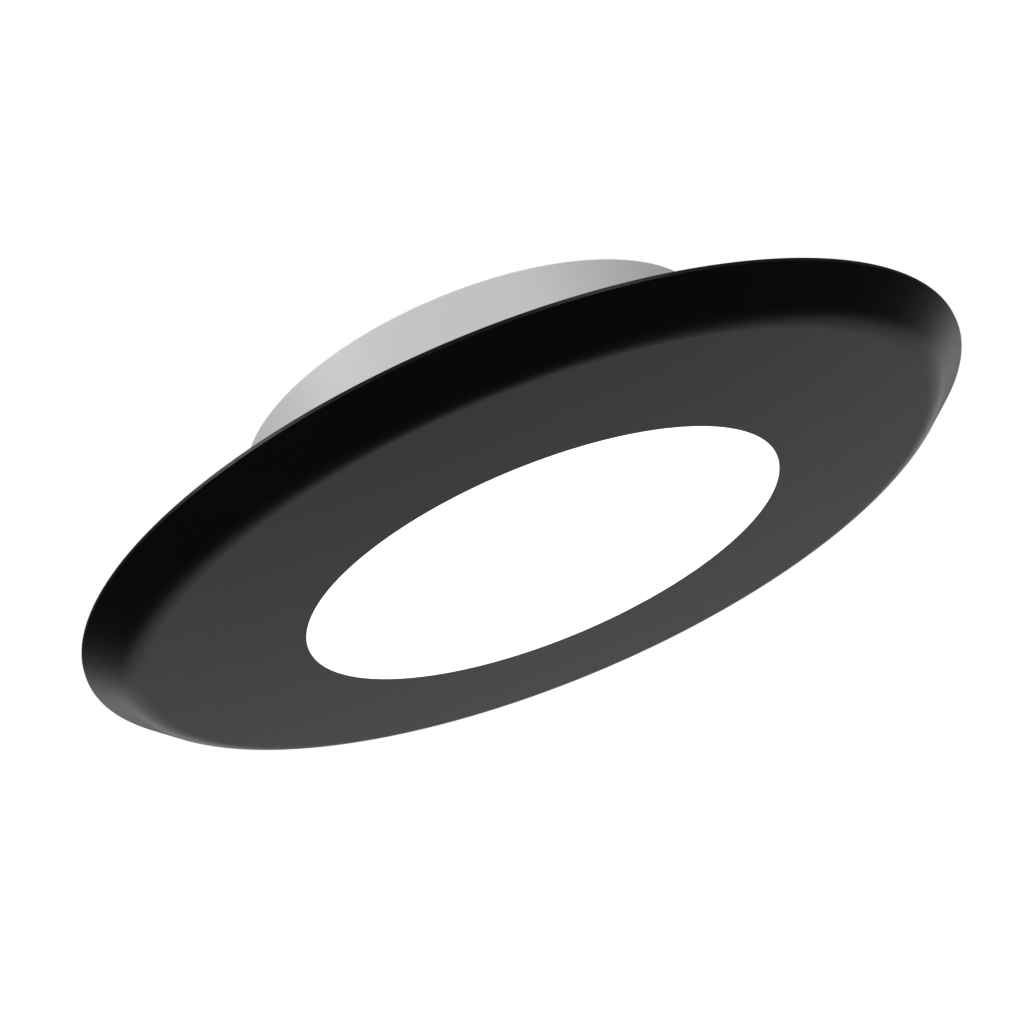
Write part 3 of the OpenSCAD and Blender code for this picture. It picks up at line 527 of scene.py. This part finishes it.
def make_housing():
    """Die-cast can: flange, sloped shoulder, web and ledge in one section, with bosses and clip pads."""
    top, flange_r = high_mm("housing").z, high_mm("housing").y
    lens_r, lens_z = high_mm("diffuser").x, high_mm("diffuser").z
    flange_z, shoulder_z, roof_z, ledge_z = BACK_Z + 1.6, lens_z + 1.5, lens_z + 1.7, low_mm("rear_gasket").z
    web_low, web_high, grommet_r, shoulder_r = 6.8, 8.8, 2.6, CAN_R + 3.2
    bore_r, ledge_r, mouth_r, recess_r = CAN_R - 3, CAN_R - 1.6, LENS_R - 0.25, lens_r + 0.3
    small, wide, rear_edge = 0.12, 0.8, 0.2
    section = rounded([
        (flange_r, BACK_Z, small), (flange_r, flange_z, 0.3), (shoulder_r, flange_z, wide),
        (CAN_R, shoulder_z, wide), (CAN_R, top, rear_edge), (ledge_r, top, small), (ledge_r, ledge_z, small),
        (bore_r, ledge_z, small), (bore_r, web_high, 0.5), (grommet_r, web_high, small),
        (grommet_r, web_low, small), (bore_r, web_low, 0.5), (bore_r, roof_z, small),
        (mouth_r, roof_z, small), (mouth_r, lens_z, small), (recess_r, lens_z, small),
        (recess_r, BACK_Z, small),
    ])
    screw_r, head_r, head_h, pilot_h, past = 1.25, 2.35, 1.2, 0.9, 1
    sink = [
        (0, BACK_Z - past), (screw_r, BACK_Z - past), (screw_r, flange_z - head_h), (head_r, flange_z),
        (head_r, top), (0, top),
    ]
    pilot = [
        (0, web_low - past), (screw_r, web_low - past), (screw_r, web_high + pilot_h),
        (0, web_high + pilot_h),
    ]
    can = carved(
        lathe("can", section, segments=LARGE_SIDES),
        [lathe("sink", sink, at, SMALL_SIDES) for at in places(4, CAN_R + 7.2, 45)]
        + [lathe("pilot", pilot, at, SMALL_SIDES) for at in places(3, bore_r - 6, 60)],
    )
    parts = [can]
    # Three bosses of each kind on the web, for the cover, the driver board and the LED board's screws
    for boss_r, hole_r, circle_r, first, boss_top, floor in (
        (2.8, 1.25, bore_r - 2.4, 90, ledge_z - 0.1, 1.6), (2.4, 1.0, bore_r - 5.5, 30, web_high + 2, 0.1),
        (2.2, 1.2, bore_r - 6, 60, web_high + 1.4, pilot_h),
    ):
        foot_z, hole_z = web_high - 0.5, web_high + floor
        boss = rounded([
            (0, foot_z, 0), (boss_r, foot_z, 0), (boss_r, boss_top, 0.2), (hole_r, boss_top, 0.1),
            (hole_r, hole_z, 0), (0, hole_z, 0),
        ])
        parts += [lathe("boss", boss, at, SMALL_SIDES) for at in places(3, circle_r, first)]
    low, high = low_mm("clip_bracket_right"), high_mm("clip_bracket_right")
    pad_w, pad_margin, sunk = 7, 0.4, 1.6
    for side in (-1, 1):
        ends = sorted((side * (CAN_R - sunk), side * low.x))
        corners = (ends[0], -pad_w, low.z - pad_margin), (ends[1], pad_w, high.z + pad_margin)
        parts.append(block("clip_pad", *corners, 0.3))
    settle(smoothed(merged("can_casting", parts)), "housing")


def make_sleeve(side, turn):
    """Dipped vinyl sleeve: an even skin over the arm's tip, full round at its end, a lip at its mouth."""
    pore_rise_and_shade, mouth, lip, lip_end = 0.8, 0.8, 0.14, 0.9
    half_t, half_w, end = CLIP_T / 2 + pore_rise_and_shade, TIP_W / 2 + pore_rise_and_shade, TIP_LEN + pore_rise_and_shade
    round_end = half_t - 0.1
    straight = end - round_end - mouth - lip_end
    # How far along the tip each ring of the skin is, and how far it draws in, from inside the mouth outwards
    stations = [
        (mouth + 1.2, pore_rise_and_shade - 0.04), (mouth + 0.1, pore_rise_and_shade - 0.04), (mouth, pore_rise_and_shade - 0.12),
        (mouth - 0.02, pore_rise_and_shade / 2), (mouth, 0.12), (mouth + 0.12, 0.0), (mouth + 0.5, 0.0),
        (mouth + lip_end, lip),
    ]
    stations += [(mouth + lip_end + straight * k / 5, lip * (1 - k / 5)) for k in range(1, 6)]
    stations += [(end - round_end * (1 - math.sin(t)), round_end * (1 - math.cos(t)))
                 for t in (math.radians(12 * k) for k in range(1, 8))]
    rings = []
    for along, drawn in stations:
        w, t = half_w - drawn, half_t - drawn
        corner = max(0.15, min(1.0, t * 0.95))
        corners = [(-w, -t, corner), (w, -t, corner), (w, t, corner), (-w, t, corner)]
        rings.append([(along, q.x, q.y) for q in rounded(corners, math.radians(12))])
    sleeve = lofted("sleeve_dipped_" + side, rings)
    tip = Matrix.Translation(Vector((ARM_LEN, 0, CHANNEL_Z)) * MM) @ Matrix.Rotation(-TIP_BEND, 4, "Y")
    sleeve.data.transform(turn @ Matrix.Translation(PIVOT * MM) @ Matrix.Rotation(DROOP, 4, "Y") @ tip)
    settle(smoothed(sleeve, 60), "clip_sleeve_" + side)


def make_lens_gasket():
    """Flat ring with soft edges, behind the trim and under the lens's flange."""
    low, high = low_mm("diffuser_gasket"), high_mm("diffuser_gasket")
    inner_r, soft = OPENING_R + FIT, 0.2
    section = rounded([
        (inner_r, low.z, soft), (high.x, low.z, soft), (high.x, high.z, soft), (inner_r, high.z, soft),
    ])
    settle(smoothed(lathe("lens_gasket", section)), "diffuser_gasket")


def make_gland_rings():
    """Moulded rings of the gland: the waisted washer below it and the grooved seal in its nut."""
    low, high = low_mm("gland_washer"), high_mm("gland_washer")
    axis = (0, (low.y + high.y) / 2)
    outer_r, bore_r, waist = (high.x - low.x) / 2, 6.1, 0.12
    section = rounded([
        (bore_r, low.z, 0.15), (outer_r, low.z, 0.3), (outer_r - waist, (low.z + high.z) / 2, 0.3),
        (outer_r, high.z, 0.3), (bore_r, high.z, 0.15),
    ])
    settle(smoothed(lathe("washer_moulded", section, axis, MEDIUM_SIDES), 60), "gland_washer")
    low, high = low_mm("gland_seal"), high_mm("gland_seal")
    seal_r, cable_r, groove, edge = (high.x - low.x) / 2, 3.0, 0.25, 0.1
    grooves = []
    for k in range(3, 0, -1):
        z = low.z + (high.z - low.z) * k / 4
        grooves += [
            (cable_r, z + 2 * groove, edge), (cable_r + groove, z + groove, edge),
            (cable_r + groove, z - groove, edge), (cable_r, z - 2 * groove, edge),
        ]
    section = rounded([
        (cable_r, low.z, 0.3), (seal_r, low.z, 0.3), (seal_r, high.z, 0.35), (cable_r, high.z, 0.5), *grooves,
    ])
    settle(smoothed(lathe("seal_ribbed", section, axis, MEDIUM_SIDES), 60), "gland_seal")


def make_grommet():
    """Rubber grommet in the web, with a soft lip on each side of it."""
    low, high = low_mm("web_grommet"), high_mm("web_grommet")
    lip_r, hole_r, neck_r = high.x, 1.4, 2.55
    neck_low, neck_high = low.z + 0.6, high.z - 0.8
    section = rounded([
        (hole_r, low.z, 0.25), (lip_r, low.z, 0.28), (lip_r, neck_low, 0.1), (neck_r, neck_low, 0),
        (neck_r, neck_high, 0), (lip_r, neck_high, 0.1), (lip_r, high.z, 0.38), (hole_r, high.z, 0.35),
    ])
    settle(smoothed(lathe("grommet_moulded", section, (0, 0), MEDIUM_SIDES), 60), "web_grommet")


def make_foam():
    """Closed-cell foam ring: crowned top, eased edges, an uneven skin and the butt joint of its strip."""
    low, high = low_mm("soffit_gasket").z, high_mm("soffit_gasket").z
    outer_r, width, crown, edge = high_mm("soffit_gasket").x, 4, 0.25, 0.15
    inner_r = outer_r - width
    middle_r = (inner_r + outer_r) / 2
    skin, joint_at, joint_w, joint_d = 0.05, math.radians(205), 0.25, 0.4
    section = divided(rounded([
        (inner_r, low, edge), (outer_r, low, edge), (outer_r, high - crown, 0.7), (middle_r, high, 4),
        (inner_r, high - crown, 0.7),
    ]), 0.35)
    foam = lathe("foam_ring", section, segments=720)
    middle = Vector((middle_r, (low + high) / 2))
    for vert in foam.data.vertices:
        spot = vert.co / MM
        r, turn = math.hypot(spot.x, spot.y), math.atan2(spot.y, spot.x) % (2 * math.pi)
        off_joint = r * (turn - joint_at)
        drawn_in = skin * (1 + noise.noise(spot * 0.9) * 0.6 + noise.noise(spot * 2.7) * 0.4)
        drawn_in += joint_d * math.exp(-((off_joint / joint_w) ** 2))
        to_middle = middle - Vector((r, spot.z))
        step = to_middle.normalized() * drawn_in
        r, z = r + step.x, spot.z + step.y
        vert.co = Vector((r * math.cos(turn), r * math.sin(turn), z)) * MM
    settle(smoothed(foam, 60), "soffit_gasket")


def package(size, at, stations, turn=0.0, cut=0.0):
    """Moulded package on a board; cut is taken off its upright corners, which are rounded without it.

    A station is a height and how far the outline draws in there.
    """
    largest, least, cut_keeps = 0.25, 0.06, 0.6
    cos, sin = math.cos(turn), math.sin(turn)
    rings = []
    for z, drawn in stations:
        w, l, corner = size[0] / 2 - drawn, size[1] / 2 - drawn, max(least, largest - drawn)
        c = cut and cut - drawn * cut_keeps
        corners = [
            (w, c - l), (w, l - c), (w - c, l), (c - w, l),
            (-w, l - c), (-w, c - l), (c - w, -l), (w - c, -l),
        ]
        if not cut:
            corners = corners[::2]
        ring = rounded([(x, y, corner) for x, y in corners], math.radians(22))
        rings.append([(at[0] + q.x * cos - q.y * sin, at[1] + q.x * sin + q.y * cos, z) for q in ring])
    return lofted("package", rings)


def make_components():
    """LED packages with a sunk window, and the driver's diodes, capacitors and inductor."""
    led_size, diode_size, capacitor_size, inductor_size = (2.8, 3.5), (2.6, 3.5), (7.3, 4.3), (7, 7)
    low, high, board_r = low_mm("led_chips").z, high_mm("led_chips").z, high_mm("led_board").x
    window = [
        (high, 0.08), (high - 0.1, 0), (low + 0.15, 0.03), (low + 0.02, 0.08), (low, 0.16), (low, 0.42),
        (low + 0.1, 0.5),
    ]
    leds = [
        package(led_size, at, window, math.atan2(at[1], at[0]))
        for count, radius in ((12, board_r - 9.6), (6, board_r - 15.6))
        for at in places(count, radius, 180 / count)
    ]
    settle(smoothed(merged("led_packages", leds)), "led_chips")

    board, top = low_mm("rectifier_diodes").z, high_mm("rectifier_diodes").z
    drafted = [(board + 0.1, 0.12), (board + 0.8, 0), (board + 1.1, 0), (top - 0.12, 0.1), (top, 0.22)]
    row_y, tab_w, tab_y, tab_h = -16, 0.75, 2.15, 0.25
    diodes = []
    for x in (-7.5, -2.5, 2.5, 7.5):
        diodes.append(package(diode_size, (x, row_y), drafted))
        tab_ends = (x - tab_w, row_y - tab_y, board), (x + tab_w, row_y + tab_y, board + tab_h)
        diodes.append(block("tabs", *tab_ends, 0.06))
    settle(smoothed(merged("diodes_moulded", diodes)), "rectifier_diodes")

    top = high_mm("capacitors").z
    boxed = [
        (board, 0.3), (board + 0.25, 0.3), (board + 0.3, 0.05), (board + 0.45, 0), (top - 0.3, 0.04),
        (top - 0.08, 0.12), (top, 0.3),
    ]
    cases = [package(capacitor_size, (x, 4.2), boxed) for x in (-13.8, 13.8)]
    settle(smoothed(merged("capacitors_boxed", cases)), "capacitors")

    top = high_mm("power_inductor").z
    core = [
        (board, 0.15), (board + 0.15, 0), (top - 0.25, 0), (top - 0.06, 0.08), (top, 0.25), (top, 1.0),
        (top - 0.12, 1.08),
    ]
    inductor = package(inductor_size, (13.5, -5), core, cut=1.06)
    settle(smoothed(merged("inductor_core", [inductor])), "power_inductor")


# Spring clips, laid out for the right-hand one in millimetres
CLIP_T = 0.9        # of the sheet
PIN_R, PIN_FIT = 0.9, 0.05    # of the pin, and its play in the ears
PIVOT = (low_mm("clip_pin_right") + high_mm("clip_pin_right")) / 2
BRACKET_W = 13.2
ARM_LEN, TIP_LEN, TIP_W, CHANNEL_Z = 12.0, 6.0, 8.0, -2.65
TIP_BEND, DROOP = math.radians(32), math.radians(32.1694)
FOLD_R = 0.75       # of the middle of the sheet at a fold
FOLD_ARC = FOLD_R * math.pi / 2


def folded(v, flat):
    """How far across and how far up a point v of the blank's width comes to, folded up past flat."""
    over = abs(v) - flat
    if over <= 0:
        return v, 0
    turn = min(over / FOLD_R, math.pi / 2)
    rise = FOLD_R * (1 - math.cos(turn)) + max(0, over - FOLD_ARC)
    return math.copysign(flat + FOLD_R * math.sin(turn), v), rise


def fold_lines(flat, low, high, reach):
    """Lines of the blank, from low to high, along both folds and up their ears."""
    offsets = [flat + FOLD_ARC * k / 6 for k in range(7)] + [reach]
    return [((low, side * v), (high, side * v)) for v in offsets for side in (-1, 1)]


def mirrored(half):
    """Closed outline from the half with v above 0, given in order."""
    return half + [Vector((q.x, -q.y)) for q in reversed(half)]


def make_bracket(side, turn):
    """Bracket: a base on the can's pad, ears folded out for the pin, and reliefs beside the folds."""
    low, high = low_mm("clip_bracket_right"), high_mm("clip_bracket_right")
    base_t, screw_hole_r = 1.0, 1.3
    half_w, ear_r = BRACKET_W / 2, high.x - PIVOT.x
    flat = half_w - CLIP_T / 2 - FOLD_R
    ear_v = flat + FOLD_ARC + PIVOT.x - low.x - base_t / 2 - FOLD_R
    foot, relief, relief_v, corner = ear_r + 1.5, 0.5, flat - 0.3, 0.8
    up, down = PIVOT.z + foot, PIVOT.z - foot
    ear_low, ear_high, ear_end, ear_round = PIVOT.z - ear_r, PIVOT.z + ear_r, ear_v + ear_r, ear_r * 0.98
    half = rounded([
        (low.z, 0, 0), (low.z, half_w, corner), (down - relief, half_w, 0.15), (down - relief, relief_v, 0.2),
        (down, relief_v, 0.2), (down, flat + FOLD_ARC, 0.4), (ear_low, ear_v, 0.6),
        (ear_low, ear_end, ear_round), (ear_high, ear_end, ear_round), (ear_high, ear_v, 0.6),
        (up, flat + FOLD_ARC, 0.4), (up, relief_v, 0.2), (up + relief, relief_v, 0.2),
        (up + relief, half_w, 0.15), (high.z, half_w, corner), (high.z, 0, 0),
    ], math.radians(15))[1:-1]
    holes = [circle(z, 0, screw_hole_r) for z in (low.z + 2.4, high.z - 2.2)]
    holes += [circle(PIVOT.z, s * ear_v, PIN_R + PIN_FIT) for s in (-1, 1)]

    def shape(q):
        """Where a point of the flat blank comes to."""
        y, out = q.y, 0
        if down - relief / 2 < q.x < up + relief / 2:
            y, out = folded(q.y, flat)
        return low.x + base_t / 2 + out, y, q.x

    blank = cut_blank(divided(mirrored(half), 0.5), holes, fold_lines(flat, down, up, ear_v), 0.6)
    bracket = pressed("bracket_pressed_" + side, blank, shape, CLIP_T)
    bracket.data.transform(turn)
    settle(bracket, "clip_bracket_" + side)


def make_arm(side, turn):
    """Arm: a channel round the coil that narrows into a bent tip, with a bead pressed up into its floor."""
    ear_r, outer, bend_r, channel_end = PIN_R + 0.8, 5.4, 1.2, ARM_LEN - 1.5
    flat = outer - CLIP_T / 2 - FOLD_R
    pin_v = flat + FOLD_ARC - CHANNEL_Z - FOLD_R
    bend_start = ARM_LEN - bend_r * math.tan(TIP_BEND / 2)
    bend_arc = bend_r * TIP_BEND
    end = bend_start + bend_arc + TIP_LEN - bend_r * math.tan(TIP_BEND / 2)
    half = rounded([
        (1, 0, 0), (1, flat, 0.3), (0, flat + FOLD_ARC, 0.4), (-ear_r, pin_v - 0.4, 1.0),
        (-ear_r, pin_v + ear_r, ear_r * 0.98), (ear_r + 0.2, pin_v + ear_r, ear_r * 0.9),
        (ear_r + 1.2, pin_v + 0.1, 1.0), (channel_end, flat + FOLD_ARC * 0.8, 1.0),
        (channel_end + 0.2, flat + 0.5, 0.4), (ARM_LEN, TIP_W / 2, 1.2), (end, TIP_W / 2, 1.5), (end, 0, 0),
    ], math.radians(12))[1:-1]
    bead_end, bead_len, bead_taper = ARM_LEN - 1.6, 6.5, 0.9
    bead_h, bead_r, bead_from, bead_to = 0.4, 1.15, bead_end - bead_len + bead_taper, bead_end - bead_taper

    def shape(q):
        """Where a point of the flat blank comes to, with the pin at the origin."""
        y, z = folded(q.y, flat)
        z += CHANNEL_Z
        off_bead = math.hypot(q.x - min(max(q.x, bead_from), bead_to), q.y) / bead_r
        if off_bead < 1:
            z += bead_h * (math.cos(math.pi * off_bead) + 1) / 2
        if q.x <= bend_start:
            return q.x, y, z
        angle = min((q.x - bend_start) / bend_r, TIP_BEND)
        rest = max(0, q.x - bend_start - bend_arc)
        x = bend_start + bend_r * math.sin(angle) + rest * math.cos(TIP_BEND)
        z += bend_r * (1 - math.cos(angle)) + rest * math.sin(TIP_BEND)
        return x, y, z

    lines = fold_lines(flat, -0.5, channel_end, pin_v)
    lines += [((x, -TIP_W / 2), (x, TIP_W / 2)) for x in (bend_start + bend_arc * k / 4 for k in range(5))]
    holes = [circle(0, s * pin_v, PIN_R + PIN_FIT) for s in (-1, 1)]
    blank = cut_blank(divided(mirrored(half), 0.4), holes, lines, 0.42)
    arm = pressed("arm_pressed_" + side, blank, shape, CLIP_T)
    arm.data.transform(turn @ Matrix.Translation(PIVOT * MM) @ Matrix.Rotation(DROOP, 4, "Y"))
    settle(arm, "clip_arm_" + side)


def make_pin(side, turn):
    """Hinge pin with a domed head on each end."""
    half, head_r, dome, seat = BRACKET_W / 2, PIN_R + 0.75, 0.6, 0.08
    end = half + 0.7
    section = rounded([
        (0, -end, 0), (head_r, -end, dome), (head_r, -half, seat), (PIN_R, -half, 0),
        (PIN_R, half, 0), (head_r, half, seat), (head_r, end, dome), (0, end, 0),
    ])
    pin = lathe("pin_riveted_" + side, section, segments=SMALL_SIDES)
    pin.data.transform(turn @ Matrix.Translation(PIVOT * MM) @ Matrix.Rotation(math.pi / 2, 4, "X"))
    settle(smoothed(pin), "clip_pin_" + side)


def make_spring(side, turn):
    """Torsion spring wound to the clip's droop: one leg up the bracket, the coil, one leg along the arm."""
    coil_r, wire_r, pitch, turns, steps = 1.5, 0.4, 1.3, 5, 40
    fixed_leg, fixed_steps, moving_leg, moving_steps = 5.0, 12, 8.0, 16
    start, finish = math.pi, 2 * math.pi * turns + 1.5 * math.pi - DROOP
    length = pitch * (finish - start) / (2 * math.pi)

    def out(a):
        """Away from the pin, at that angle of the coil."""
        return Vector((math.cos(a), 0, math.sin(a)))

    def way(a):
        """Along the wire, at that angle of the coil."""
        return Vector((-math.sin(a), 0, math.cos(a)))

    def at(a):
        """Middle of the wire, at that angle of the coil."""
        return PIVOT + Vector((0, pitch * (a - start) / (2 * math.pi) - length / 2, 0)) + coil_r * out(a)

    count = math.ceil((finish - start) / (2 * math.pi) * steps)
    angles = [start + (finish - start) * k / count for k in range(count + 1)]
    path = [(at(start) - way(start) * fixed_leg * (1 - k / fixed_steps), out(start))
            for k in range(fixed_steps)]
    path += [(at(a), out(a)) for a in angles]
    path += [(at(finish) + way(finish) * moving_leg * k / moving_steps, out(finish))
             for k in range(1, moving_steps + 1)]
    spring = swept("spring_wound_" + side, path, wire_r)
    spring.data.transform(turn)
    spring.data.materials.append(MATERIALS["spring_steel"])
    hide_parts("clip_spring_" + side)
    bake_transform(spring)


make_trim()
make_lens()
make_foam()
make_lens_gasket()
make_gland_rings()
make_grommet()
make_housing()
make_components()
for side, turn in (("right", Matrix.Identity(4)), ("left", Matrix.Rotation(math.pi, 4, "Z"))):
    make_bracket(side, turn)
    make_arm(side, turn)
    make_sleeve(side, turn)
    make_pin(side, turn)
    make_spring(side, turn)
# The nodes that no piece above stands for keep their own shape
edge_mm, soft_edges = 0.1, {"rear_gasket": 0.2, "thermal_pad": 0.2}
for name, node in NODES.items():
    if not node.hide_render:
        settle(softened(name, soft_edges.get(name, edge_mm)), name)


# ---- camera, floor and light ----

def make_camera():
    """The photograph's camera: in front of the light and below it, rolled so that the trim leans."""
    elevation, roll = math.radians(21.0), math.radians(-22.54)
    distance = TRIM_R * MM / 0.22    # the trim's radius is that share of it
    image_px, focal_px = 1024, 2093
    origin_px = (533.7, 530.7)
    place = Vector((0, -distance * math.cos(elevation), -distance * math.sin(elevation)))
    forward = -place.normalized()
    right = Vector((1, 0, 0))
    up = right.cross(forward)
    rolled_right = math.cos(roll) * right + math.sin(roll) * up
    rolled_up = math.cos(roll) * up - math.sin(roll) * right
    axes = Matrix((rolled_right, rolled_up, -forward)).transposed()
    middle_px = image_px / 2
    aim = Vector(((origin_px[0] - middle_px) / focal_px, (middle_px - origin_px[1]) / focal_px, -1))
    turn = Vector((0, 0, -1)).rotation_difference(aim.normalized()).to_matrix()
    data = bpy.data.cameras.new("camera")
    data.sensor_width = 36
    data.lens = data.sensor_width * focal_px / image_px
    data.clip_start = 0.01
    data.clip_end = 50
    camera = bpy.data.objects.new("camera", data)
    bpy.context.scene.collection.objects.link(camera)
    camera.matrix_world = Matrix.Translation(place) @ (axes @ turn.transposed()).to_4x4()
    bpy.context.scene.camera = camera


def area_light(name, place, size, power):
    """Soft square lamp that faces the origin; reflections show the cards instead of it."""
    data = bpy.data.lights.new(name, "AREA")
    data.size = size
    data.energy = power
    lamp = bpy.data.objects.new(name, data)
    bpy.context.scene.collection.objects.link(lamp)
    lamp.location = place
    lamp.rotation_mode = "QUATERNION"
    lamp.rotation_quaternion = (-Vector(place)).to_track_quat("-Z", "Y")
    lamp.visible_glossy = False


def either(nodes, links, *values):
    """1 where any of the values is 1."""
    found = values[0]
    for value in values[1:]:
        most = nodes.new("ShaderNodeMath")
        most.operation = "MAXIMUM"
        links.new(found, most.inputs[0])
        links.new(value, most.inputs[1])
        found = most.outputs[0]
    return found


def seen_rays(nodes, links):
    """1 for the rays that show a backdrop: straight to the eye, in a gloss, or through glass."""
    path = nodes.new("ShaderNodeLightPath")
    kinds = ("Is Camera Ray", "Is Glossy Ray", "Is Transmission Ray")
    return either(nodes, links, *(path.outputs[kind] for kind in kinds))


def make_world():
    """Even studio surround: white to the eye and in reflections, softer as light."""
    world = bpy.data.worlds.new("studio")
    bpy.context.scene.world = world
    world.use_nodes = True
    nodes, links = world.node_tree.nodes, world.node_tree.links
    nodes.clear()
    as_light, as_seen = 0.35, 1.0
    backgrounds = []
    for strength in (as_light, as_seen):
        made = nodes.new("ShaderNodeBackground")
        made.inputs["Color"].default_value = (1, 1, 1, 1)
        made.inputs["Strength"].default_value = strength
        backgrounds.append(made)
    mix = nodes.new("ShaderNodeMixShader")
    links.new(seen_rays(nodes, links), mix.inputs["Fac"])
    links.new(backgrounds[0].outputs[0], mix.inputs[1])
    links.new(backgrounds[1].outputs[0], mix.inputs[2])
    out = nodes.new("ShaderNodeOutputWorld")
    links.new(mix.outputs[0], out.inputs["Surface"])


def make_floor():
    """Pale floor, well below the light, so that it never hides the lit face."""
    half, z, tone, own_glow = 20.0, -0.55, (0.8, 0.8, 0.8, 1), 0.85
    corners = [(-half, -half, z), (half, -half, z), (half, half, z), (-half, half, z)]
    mesh = bpy.data.meshes.new("floor")
    mesh.from_pydata(corners, [], [(0, 1, 2, 3)])
    floor = linked("floor", mesh)
    made, nodes, links, shader = material("floor_pale")
    shader.inputs["Base Color"].default_value = tone
    shader.inputs["Roughness"].default_value = 0.9
    part = nodes.new("ShaderNodeMath")
    part.operation = "MULTIPLY"
    part.inputs[1].default_value = own_glow
    links.new(seen_rays(nodes, links), part.inputs[0])
    glow = nodes.new("ShaderNodeEmission")
    mix = nodes.new("ShaderNodeMixShader")
    links.new(part.outputs[0], mix.inputs["Fac"])
    links.new(shader.outputs[0], mix.inputs[1])
    links.new(glow.outputs[0], mix.inputs[2])
    links.new(mix.outputs[0], nodes["Material Output"].inputs["Surface"])
    floor.data.materials.append(made)


def studio_card(name, azimuths, elevations, radius, strength):
    """Curved card that only reflections see; azimuths run from +Y towards +X, in degrees."""
    step = 5
    across, upward = (max(1, math.ceil((high - low) / step)) for low, high in (azimuths, elevations))
    verts = []
    for j in range(upward + 1):
        up = math.radians(elevations[0] + (elevations[1] - elevations[0]) * j / upward)
        for i in range(across + 1):
            on = math.radians(azimuths[0] + (azimuths[1] - azimuths[0]) * i / across)
            way = Vector((math.cos(up) * math.sin(on), math.cos(up) * math.cos(on), math.sin(up)))
            verts.append(radius * way)
    row = across + 1
    faces = [(j * row + i, j * row + i + 1, (j + 1) * row + i + 1, (j + 1) * row + i)
             for j in range(upward) for i in range(across)]
    mesh = bpy.data.meshes.new(name)
    mesh.from_pydata(verts, [], faces)
    card = linked(name, mesh)
    made, nodes, links, shader = material(name)
    glow = nodes.new("ShaderNodeEmission")
    glow.inputs["Strength"].default_value = strength
    links.new(glow.outputs[0], nodes["Material Output"].inputs["Surface"])
    nodes.remove(shader)
    mesh.materials.append(made)
    card.visible_camera = False
    card.visible_diffuse = False
    card.visible_transmission = False
    card.visible_shadow = False


def make_studio():
    """Cards all round: dark below, a window behind that the face shows, and strips that light the rim."""
    studio_card("dark_below", (-180, 180), (-90, 0), 0.5, 0.005)
    studio_card("window_low", (-41, 45), (-46, -22), 0.48, 0.37)
    studio_card("window_high", (-41, 45), (-22, 0), 0.48, 0.5)
    for side in (-1, 1):
        studio_card("window_side", sorted((side * 80, side * 180)), (-28, 0), 0.48, 0.12)
        studio_card("horizon", sorted((side * 18, side * 40)), (-7, 5), 0.475, 1.2)
    studio_card("dome", (-180, 180), (0, 90), 0.5, 0.5)
    studio_card("back_high", (-95, 95), (0, 60), 0.49, 0.1)
    studio_card("dark_front", (95, 295), (4, 58), 0.485, 0.03)
    studio_card("strip_left", (224, 243), (6, 45), 0.48, 3.5)
    studio_card("strip_right", (138, 152), (6, 45), 0.48, 1.9)
    studio_card("softbox_left", (190, 240), (50, 78), 0.47, 3.0)
    studio_card("softbox_back", (40, 80), (42, 70), 0.47, 2.5)


make_camera()
make_world()
make_floor()
make_studio()
area_light("key", (-0.38, -0.62, 0.69), 0.5, 8.6)
area_light("fill", (0.55, -0.45, 0.70), 0.6, 3.75)
bpy.context.scene.view_settings.view_transform = "Standard"
